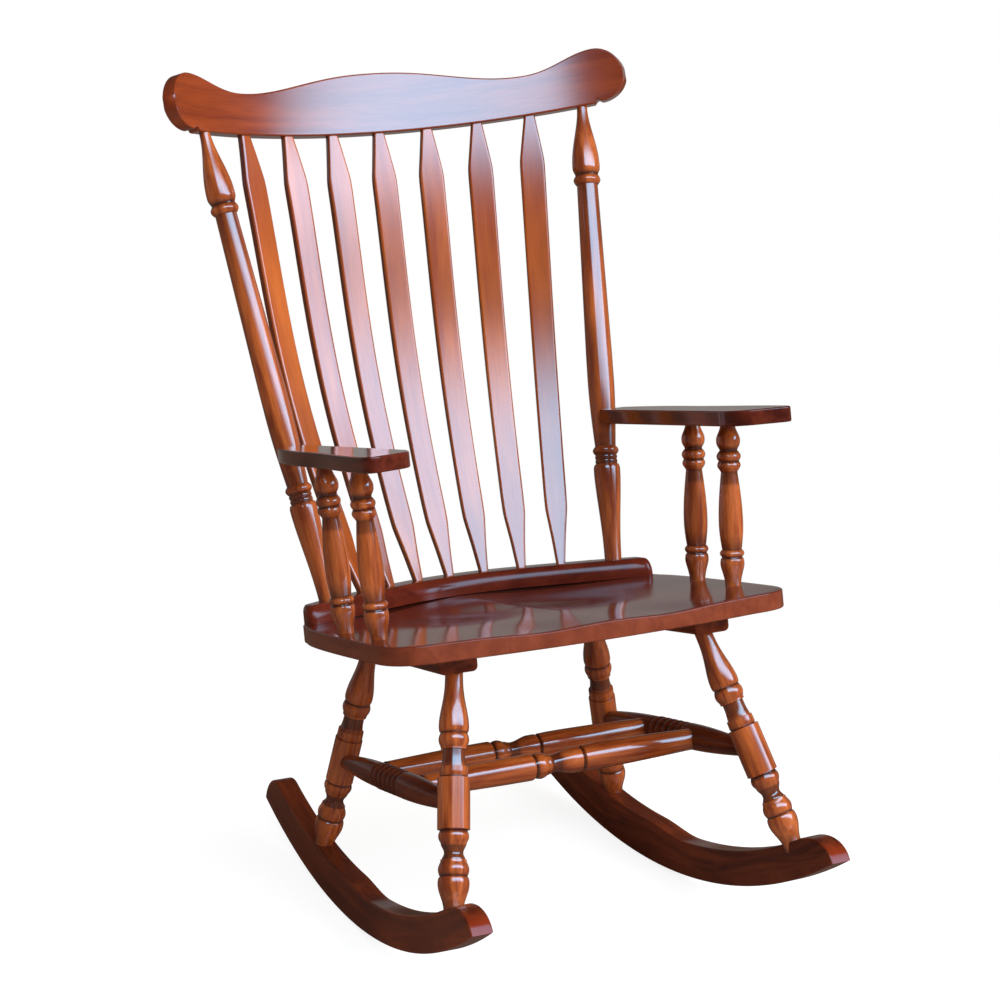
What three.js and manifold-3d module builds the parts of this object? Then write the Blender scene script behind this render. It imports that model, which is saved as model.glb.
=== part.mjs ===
// A rocking chair of turned legs and posts with seven flat back spindles.
// All lengths are millimetres in the seat's own frame: X across, Y to the back, Z up,
// with the seat's flat top at zero.
import * as THREE from "three";
import Module from "manifold-3d";

const wasm = await Module();
wasm.setup();

// Stance
const restTilt = THREE.MathUtils.degToRad(12.5);
const fitGap = 0.3;
const shoulderGap = 1;

// Seat
const seatThickness = 24.3;
const seatFrontY = -308;
const seatFrontCornerX = 222;
const seatFrontCornerY = -285.5;
const seatSideX = 289;
const seatSideFrontY = -215;
const seatRearCornerX = 272;
const seatRearCornerY = 71;
const seatRearInsetX = 254.5;
const seatRearInsetY = 114;
const seatRearY = 235.5;
const seatEdgeRadius = 2.4;
const saddleDepth = 8.4;
const saddleLobeX = 86;
const saddleLobeY = 18.7;
const saddleSpreadX = 82.5;
const saddleSpreadY = 126;
const saddleLipDepth = 3.3;
const saddleLipX = 89;
const saddleLipSpread = 56.1;
const saddleLipRun = 112;

// Seat rail, the raised lip that carries the back
const railEndX = 264.5;
const railFrontEndY = 65.5;
const railBow = 100;
const railBowHalfSpan = 308.5;
const railDepth = 56.1;
const railHeight = 26.2;
const railRoundHeight = 21;
const railRoundDepth = 13;
const railBackRound = 4.8;
const railEndRound = 11;
const railEndShare = 0.6;
const railEndRiseShare = 0.96;
const railSpindleInset = 33.7;
const railPlugRadius = 4.7;
const railPlugThickness = 3.7;
const railPlugX = 192.5;
const railPlugInset = 39.3;
const railMiddlePlugInset = 17.8;
const railScrewRadius = 2.2;
const railScrewHeadRadius = 4.1;
const railScrewHeadThickness = 2.8;
const railScrewLength = 36;

// Back: posts, spindles and crest rail
const crestCentreY = 304;
const crestCentreZ = 665.5;
const crestRake = THREE.MathUtils.degToRad(9.6);
const crestBendRadius = 558;
const crestThickness = 20.6;
const crestHalfRun = 377.5;
const crestHumpHeight = 87;
const crestDipRun = 226.5;
const crestDipHeight = 58;
const crestEarRun = 334.5;
const crestEarHeight = 79.5;
const crestTipHeight = 33.7;
const crestLobeRun = 337.5;
const crestNotchRun = 332;
const crestNotchDepth = 4.2;
const crestBottomDrop = 1.9;
const crestWaveLean = 1.12;
const crestEdgeRadius = 2.4;
const postTopX = 291.5;
const postBaseX = 220.5;
const postBaseY = 113;
const postDiameter = 39.3;
const postFirstShare = 0.38;
const postTenonDiameter = 11.2;
const postTenonLength = 22.4;
const postFootTenonLength = 37.4;
const spindleBaseSpacing = 51.4;
const spindleTopSpacing = 74;
const spindleWidth = 36.5;
const spindleThickness = 12.2;
const spindleBow = 26.2;
const spindleBowLean = 0.82;
const spindleTenonDiameter = 6.5;
const spindleTenonLength = 15;

// Arms and their posts
const armThickness = 20.6;
const armUndersideZ = 220.3;
const armInnerX = 226.5;
const armRearOuterX = 267;
const armWaistX = 287.5;
const armFrontOuterX = 304.5;
const armRearY = 126;
const armRearBendY = 45;
const armWaistY = -40;
const armFlareY = -110;
const armHipY = -180;
const armInnerShoulderY = -222;
const armShoulderY = -266;
const armFrontInnerY = -262;
const armFrontOuterY = -293;
const armEdgeRadius = 2.3;
const armPostDiameter = 33.3;
const armPostTenonDiameter = 20;
const armPostTenonLength = 11.2;
const armPostFootTenonLength = 15.9;
const frontArmPostTop = [268.5, -168.5];
const frontArmPostFoot = [260, -161];
const rearArmPostTop = [274, -61];
const rearArmPostFoot = [263.5, -55.2];
const armScrewRadius = 2.1;
const armScrewHeadRadius = 3.9;
const armScrewLength = 54.2;
const armScrewSink = 4.7;

// Legs and the cleats that hold them under the seat
const cleatWidth = 52.4;
const cleatHeight = 24.3;
const cleatFrontX = 184;
const cleatFrontY = -231;
const cleatRearX = 169;
const cleatRearY = 127;
const cleatEdgeRadius = 7;
const cleatScrewRadius = 2.2;
const cleatScrewHeadRadius = 4.3;
const cleatScrewHeadThickness = 2.8;
const cleatScrewLength = 38;
const cleatScrewSpan = 112;
const legDiameter = 38.3;
const legTopTenonLength = 36;
const legFootTenonDiameter = 14;
const legFootTenonLength = 24.3;
const frontLegTop = [181.5, -208.5];
const frontLegFoot = [246, -285];
const rearLegTop = [171, 100];
const rearLegFoot = [230, 197.5];
const legFootSink = 3;
const legFirstShare = 0.6;
const frontBarrelShare = 1.09;
const rearBarrelShare = 1;

// Stretchers
const stretcherDrop = 169;
const sideStretcherDiameter = 36.5;
const sideStretcherTenonLength = 13.1;
const crossStretcherDiameter = 36.9;
const crossStretcherTenonLength = 12.2;
const crossStretcherEndShare = 0.8;
const stretcherTenonShare = 0.6;
const frontCrossY = -110.5;
const rearCrossY = 22.4;
const stretcherScrewRadius = 1.7;
const stretcherScrewHeadRadius = 3.4;
const stretcherScrewHeadThickness = 1.9;
const stretcherScrewLength = 31.8;

// Rockers
const rockerThickness = 29.9;
const rockerBottomRadius = 869.5;
const rockerCentreY = -42.1;
const rockerBottomZ = -418;
const rockerFrontDepth = 49.6;
const rockerRearDepth = 59.8;
const rockerFrontY = -391.5;
const rockerNoseDrop = 5;
const rockerNoseRun = 63.5;
const rockerRearY = 417;
const rockerTailRun = 42;
const rockerStepFrontY = -18.7;
const rockerStepRearY = 84;
const rockerEdgeRadius = 2.8;
const rockerX = 250.5;
const rockerLegY = -285;
const rockerToeShare = 0.045;

// How finely the curves are cut
const turnedSides = 9;
const slimSides = 8;
const boreSides = 8;
const pinSides = 6;
const seatRings = 4;
const seatSpokes = 40;
const rockerCuts = 14;
const crestCuts = 22;
const railCuts = 10;
const spindleCuts = 8;

// Finishes
const cherry = { color: 0x8f3d17, roughness: 0.28, metalness: 0 };
const darkCherry = { color: 0x4a1a10, roughness: 0.3, metalness: 0 };
const paleWood = { color: 0xb0733a, roughness: 0.5, metalness: 0 };
const steel = { color: 0x9a958c, roughness: 0.35, metalness: 0.9 };
const brass = { color: 0xb98d4a, roughness: 0.35, metalness: 0.85 };

// Turnings: form, share of the run, share of the diameter at its end, then the curve's peak or bias
const legShares = (barrel) => [
  ["swell", 0.235, 1.01, 1.4],
  ["drop", 0.026, 0.89],
  ["bead", 0.06, 0.87, 1.03],
  ["line", 0.01, 0.87],
  ["line", 0.003, 0.74],
  ["swell", 0.07, 0.82, 2],
  ["line", 0.003, 0.93],
  ["line", 0.036, 0.94],
  ["line", 0.005, 0.88],
  ["line", 0.003, barrel],
  ["line", 0.215, barrel],
  ["line", 0.005, 0.9],
  ["bead", 0.051, 0.86, 1.04],
  ["swell", 0.04, 0.64, 1],
  ["swell", 0.027, 0.78, 1.3],
  ["line", 0.003, 0.86],
  ["line", 0.01, 0.88],
  ["bead", 0.058, 0.92, 1.05],
  ["rise", 0.03, 1.05],
  ["swell", 0.11, 0.66, 1],
];
const armPostShares = [
  ["swell", 0.105, 0.97, 1.2],
  ["swell", 0.063, 0.72, 1.6],
  ["bead", 0.065, 0.82, 1.02],
  ["bead", 0.055, 0.76, 0.98],
  ["swell", 0.013, 0.67, 1],
  ["bow", 0.314, 0.99],
  ["fall", 0.156, 0.81],
  ["bead", 0.055, 0.82, 1.01],
  ["rise", 0.038, 0.98],
  ["swell", 0.136, 0.65, 0.8],
];
const backPostShares = [
  ["swell", 0.1333, 1.02, 0.95],
  ["swell", 0.0207, 0.84, 1.5],
  ["bead", 0.0205, 0.84, 1],
  ["line", 0.001, 0.77],
  ["line", 0.3745, 0.965],
  ["line", 0.056, 0.975],
  ["fall", 0.148, 0.76],
  ["bead", 0.019, 0.77, 0.96],
  ["bead", 0.0095, 0.76, 0.82],
  ["bead", 0.0095, 0.77, 0.82],
  ["rise", 0.013, 0.975],
  ["swell", 0.195, 0.62, 0.85],
];
const sideStretcherShares = [
  ["bow", 0.36, 0.94],
  ["line", 0.01, 0.88],
  ["bead", 0.046, 0.88, 1],
  ["bead", 0.046, 0.88, 1],
  ["bead", 0.046, 0.88, 1],
  ["bead", 0.046, 0.88, 1],
  ["bead", 0.046, 0.88, 1],
  ["rise", 0.02, 1],
  ["fall", 0.38, 0.6],
];
const crossStretcherShares = [
  ["bow", 0.385, 0.98],
  ["drop", 0.012, 0.8],
  ["bead", 0.05, 0.78, 0.97],
  ["swell", 0.03, 0.64, 1],
  ["swell", 0.075, 0.95, 1],
  ["line", 0.022, 0.95],
  ["line", 0.008, 0.8],
  ["line", 0.008, 0.95],
  ["line", 0.04, 0.98],
  ["fall", 0.37, 0.8],
];
const spindleWidthShares = [
  [0, 0.34], [0.06, 0.56], [0.125, 0.87], [0.16, 0.9], [0.88, 1], [0.9, 0.98], [1, 0.42],
];
const formSteps = { swell: 2, drop: 1, bead: 3, line: 1, rise: 2, bow: 3, fall: 3 };
const longSwellShare = 0.1;

// One step of a turned form, from 0 to 1 along it
function formAt(form, t, from, to, extra) {
  if (form === "swell") return from + (to - from) * (1 - Math.cos(Math.PI * Math.pow(t, extra))) / 2;
  if (form === "drop") return to + (from - to) * Math.sqrt(1 - t * t);
  if (form === "rise") return from + (to - from) * Math.sqrt(1 - (1 - t) * (1 - t));
  if (form === "bow") return from + (to - from) * Math.sin(Math.PI * t / 2);
  if (form === "fall") return to + (from - to) * Math.cos(Math.PI * t / 2);
  const base = from + (to - from) * t;
  if (form === "bead") return base + (extra - Math.max(from, to)) * Math.sin(Math.PI * t);
  return base;
}

// A lathe outline along +Y with a tenon at each end
function turnedOutline(shares, first, length, diameter, startTenon, endTenon) {
  const points = [
    new THREE.Vector2(0, -startTenon.length),
    new THREE.Vector2(startTenon.diameter / 2, -startTenon.length),
  ];
  if (startTenon.diameter < first * diameter) points.push(new THREE.Vector2(startTenon.diameter / 2, 0));
  points.push(new THREE.Vector2(first * diameter / 2, 0));
  const total = shares.reduce((sum, row) => sum + row[1], 0);
  let at = 0;
  let from = first;
  for (const [form, run, to, extra] of shares) {
    const steps = form === "swell" && run > longSwellShare ? 2 * formSteps[form] : formSteps[form];
    for (let step = 1; step <= steps; step++) {
      const t = step / steps;
      const share = formAt(form, t, from, to, extra);
      points.push(new THREE.Vector2(share * diameter / 2, (at + run * t) / total * length));
    }
    at += run;
    from = to;
  }
  if (endTenon.diameter < from * diameter) points.push(new THREE.Vector2(endTenon.diameter / 2, length));
  points.push(new THREE.Vector2(endTenon.diameter / 2, length + endTenon.length));
  points.push(new THREE.Vector2(0, length + endTenon.length));
  return points;
}

// Vertices that share a place become one
function welded(geometry) {
  const source = geometry.index ? geometry.toNonIndexed() : geometry;
  const place = source.getAttribute("position");
  const grid = 1e4;
  const seen = new Map();
  const vertices = [];
  const indices = [];
  for (let i = 0; i < place.count; i++) {
    const key = [place.getX(i), place.getY(i), place.getZ(i)].map((v) => Math.round(v * grid)).join();
    if (!seen.has(key)) {
      seen.set(key, seen.size);
      vertices.push(place.getX(i), place.getY(i), place.getZ(i));
    }
    indices.push(seen.get(key));
  }
  const kept = [];
  for (let i = 0; i < indices.length; i += 3) {
    const [a, b, c] = indices.slice(i, i + 3);
    if (a !== b && b !== c && c !== a) kept.push(a, b, c);
  }
  const merged = new THREE.BufferGeometry();
  merged.setAttribute("position", new THREE.Float32BufferAttribute(vertices, 3));
  merged.setIndex(kept);
  return merged;
}

// Six times the signed volume: negative where the faces point inward
function signedVolume(geometry) {
  const place = geometry.getAttribute("position");
  const corners = [new THREE.Vector3(), new THREE.Vector3(), new THREE.Vector3()];
  let sum = 0;
  for (let i = 0; i < geometry.index.count; i += 3) {
    corners.forEach((corner, k) => corner.fromBufferAttribute(place, geometry.index.getX(i + k)));
    sum += corners[0].dot(corners[1].clone().cross(corners[2]));
  }
  return sum;
}

// Faces turned outward, smooth normals
function finished(geometry) {
  const body = welded(geometry);
  if (signedVolume(body) < 0) {
    const flipped = [];
    for (let i = 0; i < body.index.count; i += 3) {
      flipped.push(body.index.getX(i), body.index.getX(i + 2), body.index.getX(i + 1));
    }
    body.setIndex(flipped);
  }
  body.computeVertexNormals();
  return body;
}

function solid(geometry) {
  const body = finished(geometry);
  return new wasm.Manifold(new wasm.Mesh({
    numProp: 3,
    vertProperties: new Float32Array(body.getAttribute("position").array),
    triVerts: new Uint32Array(body.index.array),
  }));
}

function surface(body) {
  const mesh = body.getMesh();
  const geometry = new THREE.BufferGeometry();
  const places = [];
  for (let i = 0; i < mesh.vertProperties.length; i += mesh.numProp) {
    places.push(mesh.vertProperties[i], mesh.vertProperties[i + 1], mesh.vertProperties[i + 2]);
  }
  geometry.setAttribute("position", new THREE.Float32BufferAttribute(places, 3));
  geometry.setIndex(Array.from(mesh.triVerts));
  return finished(geometry);
}

// Rings of points joined into one closed skin
function loft(rings) {
  const count = rings[0].length;
  const vertices = rings.flat().flatMap((p) => [p.x, p.y, p.z]);
  const indices = [];
  for (let r = 0; r < rings.length - 1; r++) {
    for (let j = 0; j < count; j++) {
      const k = (j + 1) % count;
      const [a, b, c, d] = [r * count + j, r * count + k, (r + 1) * count + k, (r + 1) * count + j];
      indices.push(a, b, c, a, c, d);
    }
  }
  const ends = [[rings[0], 0, true], [rings.at(-1), (rings.length - 1) * count, false]];
  for (const [ring, start, flip] of ends) {
    const middle = ring.reduce((sum, p) => sum.add(p), new THREE.Vector3()).divideScalar(count);
    const centre = vertices.length / 3;
    vertices.push(middle.x, middle.y, middle.z);
    for (let j = 0; j < count; j++) {
      const k = (j + 1) % count;
      indices.push(centre, start + (flip ? k : j), start + (flip ? j : k));
    }
  }
  const geometry = new THREE.BufferGeometry();
  geometry.setAttribute("position", new THREE.Float32BufferAttribute(vertices, 3));
  geometry.setIndex(indices);
  return finished(geometry);
}

// A rectangle with cut corners, eight points around
function roundedSection(width, height, corner) {
  const cut = Math.min(corner, width / 2, height / 2);
  const w = width / 2;
  const h = height / 2;
  return [
    [w, h - cut], [w - cut, h], [cut - w, h], [-w, h - cut],
    [-w, cut - h], [cut - w, -h], [w - cut, -h], [w, cut - h],
  ];
}

const chair = new THREE.Group();
chair.name = "rocking_chair";
const up = new THREE.Vector3(0, 1, 0);

function addPart(name, geometry, finish) {
  const part = new THREE.Mesh(geometry, new THREE.MeshStandardMaterial(finish));
  part.name = name;
  chair.add(part);
  return part;
}

// Places a part made along +Y so that it runs from one point toward another
function alignPart(part, from, to) {
  part.position.copy(from);
  part.quaternion.setFromUnitVectors(up, to.clone().sub(from).normalize());
  return part;
}

function bore(from, to, radius) {
  return { from, to, radius };
}

function rod(from, to, radius, sides) {
  const axis = to.clone().sub(from);
  const geometry = new THREE.CylinderGeometry(radius, radius, axis.length(), sides);
  const middle = from.clone().add(to).multiplyScalar(0.5);
  const turn = new THREE.Quaternion().setFromUnitVectors(up, axis.normalize());
  geometry.applyQuaternion(turn);
  geometry.translate(middle.x, middle.y, middle.z);
  return solid(geometry);
}

// Cuts holes, given in the seat's frame, out of a placed part
function carve(part, bores) {
  part.updateMatrix();
  const inward = part.matrix.clone().invert();
  let body = solid(part.geometry);
  for (const { from, to, radius } of bores) {
    const around = radius / Math.cos(Math.PI / boreSides);
    const start = from.clone().applyMatrix4(inward);
    body = body.subtract(rod(start, to.clone().applyMatrix4(inward), around, boreSides));
  }
  part.geometry = surface(body);
}

// A hole around the line from one point past another, with the working gap
function socket(from, to, diameter, before, past) {
  const along = to.clone().sub(from).normalize();
  return bore(
    from.clone().addScaledVector(along, -before),
    to.clone().addScaledVector(along, past),
    diameter / 2 + fitGap,
  );
}

function vec(x, y, z) {
  return new THREE.Vector3(x, y, z);
}

function beyond(from, to, length) {
  return to.clone().addScaledVector(to.clone().sub(from).normalize(), length);
}

// Curve of the seat rail's front foot and of the line its spindles stand on
function railFront(x) {
  return railFrontEndY + railBow * Math.pow(Math.cos(Math.PI * x / railBowHalfSpan / 2), 2);
}

// A place on the bent and raked crest: run along its middle, height up its face, offset to the back
function crestPlace(run, height, offset) {
  const angle = run / crestBendRadius;
  const radius = crestBendRadius + offset;
  const back = radius * Math.cos(angle) - crestBendRadius;
  return vec(
    radius * Math.sin(angle),
    crestCentreY + back * Math.cos(crestRake) + height * Math.sin(crestRake),
    crestCentreZ - back * Math.sin(crestRake) + height * Math.cos(crestRake),
  );
}

function crestTop(run) {
  const r = Math.abs(run);
  const wave = (a, b, t) => (a + b) / 2 + (a - b) / 2 * Math.cos(Math.PI * Math.pow(t, crestWaveLean));
  if (r < crestDipRun) return wave(crestHumpHeight, crestDipHeight, r / crestDipRun);
  const climb = (r - crestDipRun) / (crestEarRun - crestDipRun);
  if (r < crestEarRun) return wave(crestDipHeight, crestEarHeight, climb);
  const t = (r - crestEarRun) / (crestHalfRun - crestEarRun);
  return crestTipHeight + (crestEarHeight - crestTipHeight) * Math.sqrt(Math.max(0, 1 - t * t));
}

function crestBottom(run) {
  const r = Math.abs(run);
  const notchStart = 2 * crestNotchRun - crestLobeRun;
  if (r < notchStart) return -crestBottomDrop;
  if (r < crestLobeRun) {
    const t = (r - notchStart) / (crestLobeRun - notchStart);
    return crestBottomDrop * (t - 1) + crestNotchDepth * Math.sin(Math.PI * t);
  }
  const t = (r - crestLobeRun) / (crestHalfRun - crestLobeRun);
  return crestTipHeight * (1 - Math.sqrt(Math.max(0, 1 - t * t)));
}

// The run along the crest whose place has a given X
function crestRun(x) {
  return Math.asin(x / crestBendRadius) * crestBendRadius;
}

// Seat outline, one half mirrored
function seatOutline() {
  const v = (x, y) => new THREE.Vector2(x, y);
  const frontMiddle = v(0, seatFrontY);
  const frontCorner = v(seatFrontCornerX, seatFrontCornerY);
  const side = v(seatSideX, seatSideFrontY);
  const rearCorner = v(seatRearCornerX, seatRearCornerY);
  const rearInset = v(seatRearInsetX, seatRearInsetY);
  const rearBend = v(seatRearCornerX, (seatRearCornerY + seatRearInsetY) / 2);
  const pieces = [
    [new THREE.QuadraticBezierCurve(frontMiddle, v(seatFrontCornerX / 2, seatFrontY), frontCorner), 0.25],
    [new THREE.QuadraticBezierCurve(frontCorner, v(seatSideX, seatFrontCornerY), side), 0.22],
    [new THREE.QuadraticBezierCurve(side, v(seatSideX, seatRearCornerY / 2), rearCorner), 0.2],
    [new THREE.QuadraticBezierCurve(rearCorner, rearBend, rearInset), 0.07],
    [new THREE.QuadraticBezierCurve(rearInset, v(seatRearInsetX / 2, seatRearY), v(0, seatRearY)), 0.28],
  ];
  const half = [frontMiddle];
  for (const [curve, share] of pieces) {
    const steps = Math.max(2, Math.round(share * seatSpokes / 2));
    for (let i = 1; i <= steps; i++) half.push(curve.getPoint(i / steps));
  }
  const mirrored = half.slice(1, -1).reverse().map((p) => v(-p.x, p.y));
  return half.concat(mirrored);
}

// How far the saddle lies below the seat's flat top
function saddleAt(x, y) {
  const lobe = Math.exp(-Math.pow((Math.abs(x) - saddleLobeX) / saddleSpreadX, 2));
  const depth = Math.exp(-Math.pow((y - saddleLobeY) / saddleSpreadY, 2));
  const lip = Math.exp(-Math.pow((Math.abs(x) - saddleLipX) / saddleLipSpread, 2));
  const front = Math.exp(-Math.pow((y - seatFrontY) / saddleLipRun, 2));
  return saddleDepth * lobe * depth + saddleLipDepth * lip * front;
}

function seatGeometry() {
  const outline = seatOutline();
  const centre = new THREE.Vector2(0, (seatFrontY + seatRearY) / 2);
  const ring = (scale, inset, height, dished) => outline.map((p) => {
    const arm = p.clone().sub(centre);
    const q = centre.clone().addScaledVector(arm, scale * (1 - inset / arm.length()));
    return vec(q.x, q.y, height - (dished ? saddleAt(q.x, q.y) : 0));
  });
  const rings = [];
  for (let i = 1; i < seatRings; i++) rings.push(ring(i / seatRings, seatEdgeRadius, 0, true));
  rings.push(ring(1, seatEdgeRadius, 0, true));
  rings.push(ring(1, 0, -seatEdgeRadius, true));
  rings.push(ring(1, 0, seatEdgeRadius - seatThickness, false));
  rings.push(ring(1, seatEdgeRadius, -seatThickness, false));
  return loft(rings);
}

// Seat rail: a bowed moulding with a quarter-round front, flat on top, its ends rounded over
function railGeometry() {
  const rings = [];
  const frontSteps = 4;
  const endSteps = 3;
  const places = [];
  for (let i = 0; i <= endSteps; i++) {
    const x = railEndX - railEndRound * (1 - Math.sin(Math.PI / 2 * i / endSteps));
    places.push(-x, x);
  }
  for (let i = 1; i < railCuts; i++) places.push((railEndX - railEndRound) * (2 * i / railCuts - 1));
  for (const x of places.sort((a, b) => a - b)) {
    const narrow = 1 - Math.pow(Math.abs(x) / railEndX, 6);
    const past = Math.max(0, 1 - (railEndX - Math.abs(x)) / railEndRound);
    const roll = railEndRound * (1 - Math.sqrt(1 - past * past));
    const depth = railDepth * (railEndShare + (1 - railEndShare) * narrow) - 2 * roll;
    const height = railHeight * (railEndRiseShare + (1 - railEndRiseShare) * narrow) - roll;
    const front = railFront(x);
    const rise = Math.min(railRoundHeight, height - 2 * fitGap);
    const run = Math.min(railRoundDepth, depth / 2);
    const back = Math.min(railBackRound, depth / 4);
    const section = [[0, fitGap]];
    for (let k = 0; k <= frontSteps; k++) {
      const angle = Math.PI / 2 * k / frontSteps;
      section.push([run * (1 - Math.cos(angle)), height - rise * (1 - Math.sin(angle))]);
    }
    section.push([depth - back, height], [depth, height - back], [depth, fitGap]);
    rings.push(section.map(([y, z]) => vec(x, front + roll + y, z)));
  }
  return loft(rings);
}

// Crest rail: a bent board with a hump, two dips and rolled ears
function crestGeometry() {
  const rings = [];
  const tip = crestHalfRun - crestEdgeRadius / 2;
  const runs = [];
  for (const run of [2 * crestNotchRun - crestLobeRun, crestNotchRun, crestLobeRun]) runs.push(-run, run);
  for (let i = 0; i <= crestCuts; i++) {
    const share = 2 * i / crestCuts - 1;
    const run = tip * Math.sin(Math.PI / 2 * share) * 0.5 + tip * share * 0.5;
    if (runs.every((other) => Math.abs(other - run) > crestNotchDepth)) runs.push(run);
  }
  runs.sort((a, b) => a - b);
  for (const run of runs) {
    const low = crestBottom(run);
    const high = crestTop(run);
    const section = roundedSection(crestThickness, high - low, crestEdgeRadius);
    rings.push(section.map(([offset, h]) => crestPlace(run, (high + low) / 2 + h, offset)));
  }
  return loft(rings);
}

// Piecewise straight share curve
function shareAt(shares, t) {
  const next = Math.max(1, shares.findIndex(([at]) => at >= t));
  const [a, from] = shares[next - 1];
  const [b, to] = shares[next];
  return from + (to - from) * (t - a) / (b - a);
}

// Flat spindle, bent to the back, facing along the given direction
function spindleGeometry(length, diameter, tenon) {
  const rings = [];
  const corners = 8;
  const circle = (y, radius) => Array.from({ length: corners }, (_, k) => {
    const angle = 2 * Math.PI * (k + 0.5) / corners;
    return vec(radius * Math.cos(angle), y, radius * Math.sin(angle));
  });
  rings.push(circle(-tenon, diameter / 2));
  rings.push(circle(0, diameter / 2));
  const stops = spindleWidthShares.map(([at]) => at);
  for (let i = 0; i <= spindleCuts; i++) stops.push(i / spindleCuts);
  const apart = 0.02;
  const sorted = stops.sort((a, b) => a - b).filter((t, i, all) => i === 0 || t - all[i - 1] > apart);
  for (const t of sorted) {
    const width = spindleWidth * shareAt(spindleWidthShares, t);
    const bow = spindleBow * Math.sin(Math.PI * Math.pow(t, spindleBowLean));
    const section = roundedSection(width, spindleThickness, spindleThickness / 5);
    rings.push(section.map(([x, z]) => vec(x, t * length, z + bow)));
  }
  rings.push(circle(length, diameter / 2));
  rings.push(circle(length + tenon, diameter / 2));
  return loft(rings);
}

// A board with rounded edges from an outline, its thickness along the outline's normal
function board(shape, thickness, edge, steps, divisions) {
  const geometry = new THREE.ExtrudeGeometry(shape, {
    depth: thickness - 2 * edge,
    bevelEnabled: true,
    bevelThickness: edge,
    bevelSize: edge,
    bevelOffset: -edge,
    bevelSegments: steps,
    curveSegments: divisions,
  });
  geometry.translate(0, 0, edge);
  return finished(geometry);
}

function armShape() {
  const shape = new THREE.Shape();
  const innerCorner = new THREE.Vector2(armInnerX, armFrontInnerY);
  const outerCorner = new THREE.Vector2(armFrontOuterX, armFrontOuterY);
  const frontStart = innerCorner.clone().lerp(outerCorner, 0.36);
  const frontEnd = innerCorner.clone().lerp(outerCorner, 0.74);
  shape.moveTo(armInnerX, armRearY);
  shape.lineTo(armInnerX, armInnerShoulderY);
  shape.quadraticCurveTo(innerCorner.x, innerCorner.y, frontStart.x, frontStart.y);
  shape.lineTo(frontEnd.x, frontEnd.y);
  shape.quadraticCurveTo(outerCorner.x, outerCorner.y, armFrontOuterX, armShoulderY);
  shape.bezierCurveTo(armFrontOuterX, armHipY, armWaistX, armFlareY, armWaistX, armWaistY);
  shape.quadraticCurveTo(armWaistX, armRearBendY, armRearOuterX, armRearY);
  shape.closePath();
  return shape;
}

// Cleat along +Y: flat on top, its two lower edges rounded
function cleatGeometry(length) {
  const w = cleatWidth / 2;
  const r = cleatEdgeRadius;
  const lean = r * (1 - Math.SQRT1_2);
  const section = [
    [w, cleatHeight], [-w, cleatHeight], [-w, r], [lean - w, lean], [r - w, 0],
    [w - r, 0], [w - lean, lean], [w, r],
  ];
  return loft([0, length].map((y) => section.map(([x, z]) => vec(x, y, z))));
}

// Depth of a rocker at a place along it, and a point on the arc that lies a rise above its underside
function rockerDepth(y) {
  const t = THREE.MathUtils.smoothstep(y, rockerStepFrontY, rockerStepRearY);
  return rockerFrontDepth + (rockerRearDepth - rockerFrontDepth) * t;
}

function rockerArc(y, rise) {
  const radius = rockerBottomRadius - rise;
  const angle = Math.asin((y - rockerCentreY) / rockerBottomRadius);
  const centreZ = rockerBottomZ + rockerBottomRadius;
  return new THREE.Vector2(rockerCentreY + radius * Math.sin(angle), centreZ - radius * Math.cos(angle));
}

// Height of a rocker's upper edge at a place along it
function rockerTop(y) {
  const radius = rockerBottomRadius - rockerDepth(y);
  return rockerBottomZ + rockerBottomRadius - Math.sqrt(radius * radius - Math.pow(y - rockerCentreY, 2));
}

// Outline of a rocker in side view: Y to the back, Z up
function rockerShape() {
  const points = [];
  for (let i = 0; i <= rockerCuts; i++) {
    points.push(rockerArc(rockerFrontY + (rockerRearY - rockerFrontY) * i / rockerCuts, 0));
  }
  const tailStart = rockerRearY - rockerTailRun;
  const noseEnd = rockerFrontY + rockerNoseRun;
  const turns = 5;
  for (let i = 1; i < turns; i++) {
    const angle = Math.PI / 2 * i / turns;
    const rise = rockerDepth(rockerRearY) * Math.sin(angle);
    points.push(rockerArc(tailStart + rockerTailRun * Math.cos(angle), rise));
  }
  for (let i = rockerCuts; i >= 0; i--) {
    const y = noseEnd + (tailStart - noseEnd) * i / rockerCuts;
    points.push(rockerArc(y, rockerDepth(y)));
  }
  for (let i = turns - 1; i > 0; i--) {
    const angle = Math.PI / 2 * i / turns;
    const rise = rockerNoseDrop + (rockerFrontDepth - rockerNoseDrop) * Math.sin(angle);
    points.push(rockerArc(noseEnd - rockerNoseRun * Math.cos(angle), rise));
  }
  return new THREE.Shape(points);
}

// Screw along +Y from its head
function screwGeometry(headRadius, headThickness, radius, length) {
  return finished(new THREE.LatheGeometry([
    new THREE.Vector2(0, 0),
    new THREE.Vector2(headRadius * 0.8, 0),
    new THREE.Vector2(headRadius, headThickness * 0.4),
    new THREE.Vector2(radius, headThickness),
    new THREE.Vector2(radius, length - radius * 2),
    new THREE.Vector2(0, length),
  ], pinSides));
}

// A screw, and the holes that it needs in what it passes through
function addScrew(name, head, toward, size, finish) {
  const geometry = screwGeometry(size.headRadius, size.headThickness, size.radius, size.length);
  const part = alignPart(addPart(name, geometry, finish), head, toward);
  const along = toward.clone().sub(head).normalize();
  const under = head.clone().addScaledVector(along, size.headThickness + fitGap);
  const holes = [
    bore(head.clone().addScaledVector(along, -size.lead), under, size.headRadius + fitGap),
    bore(head.clone(), head.clone().addScaledVector(along, size.length + fitGap), size.radius + fitGap),
  ];
  return { part, holes };
}

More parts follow.
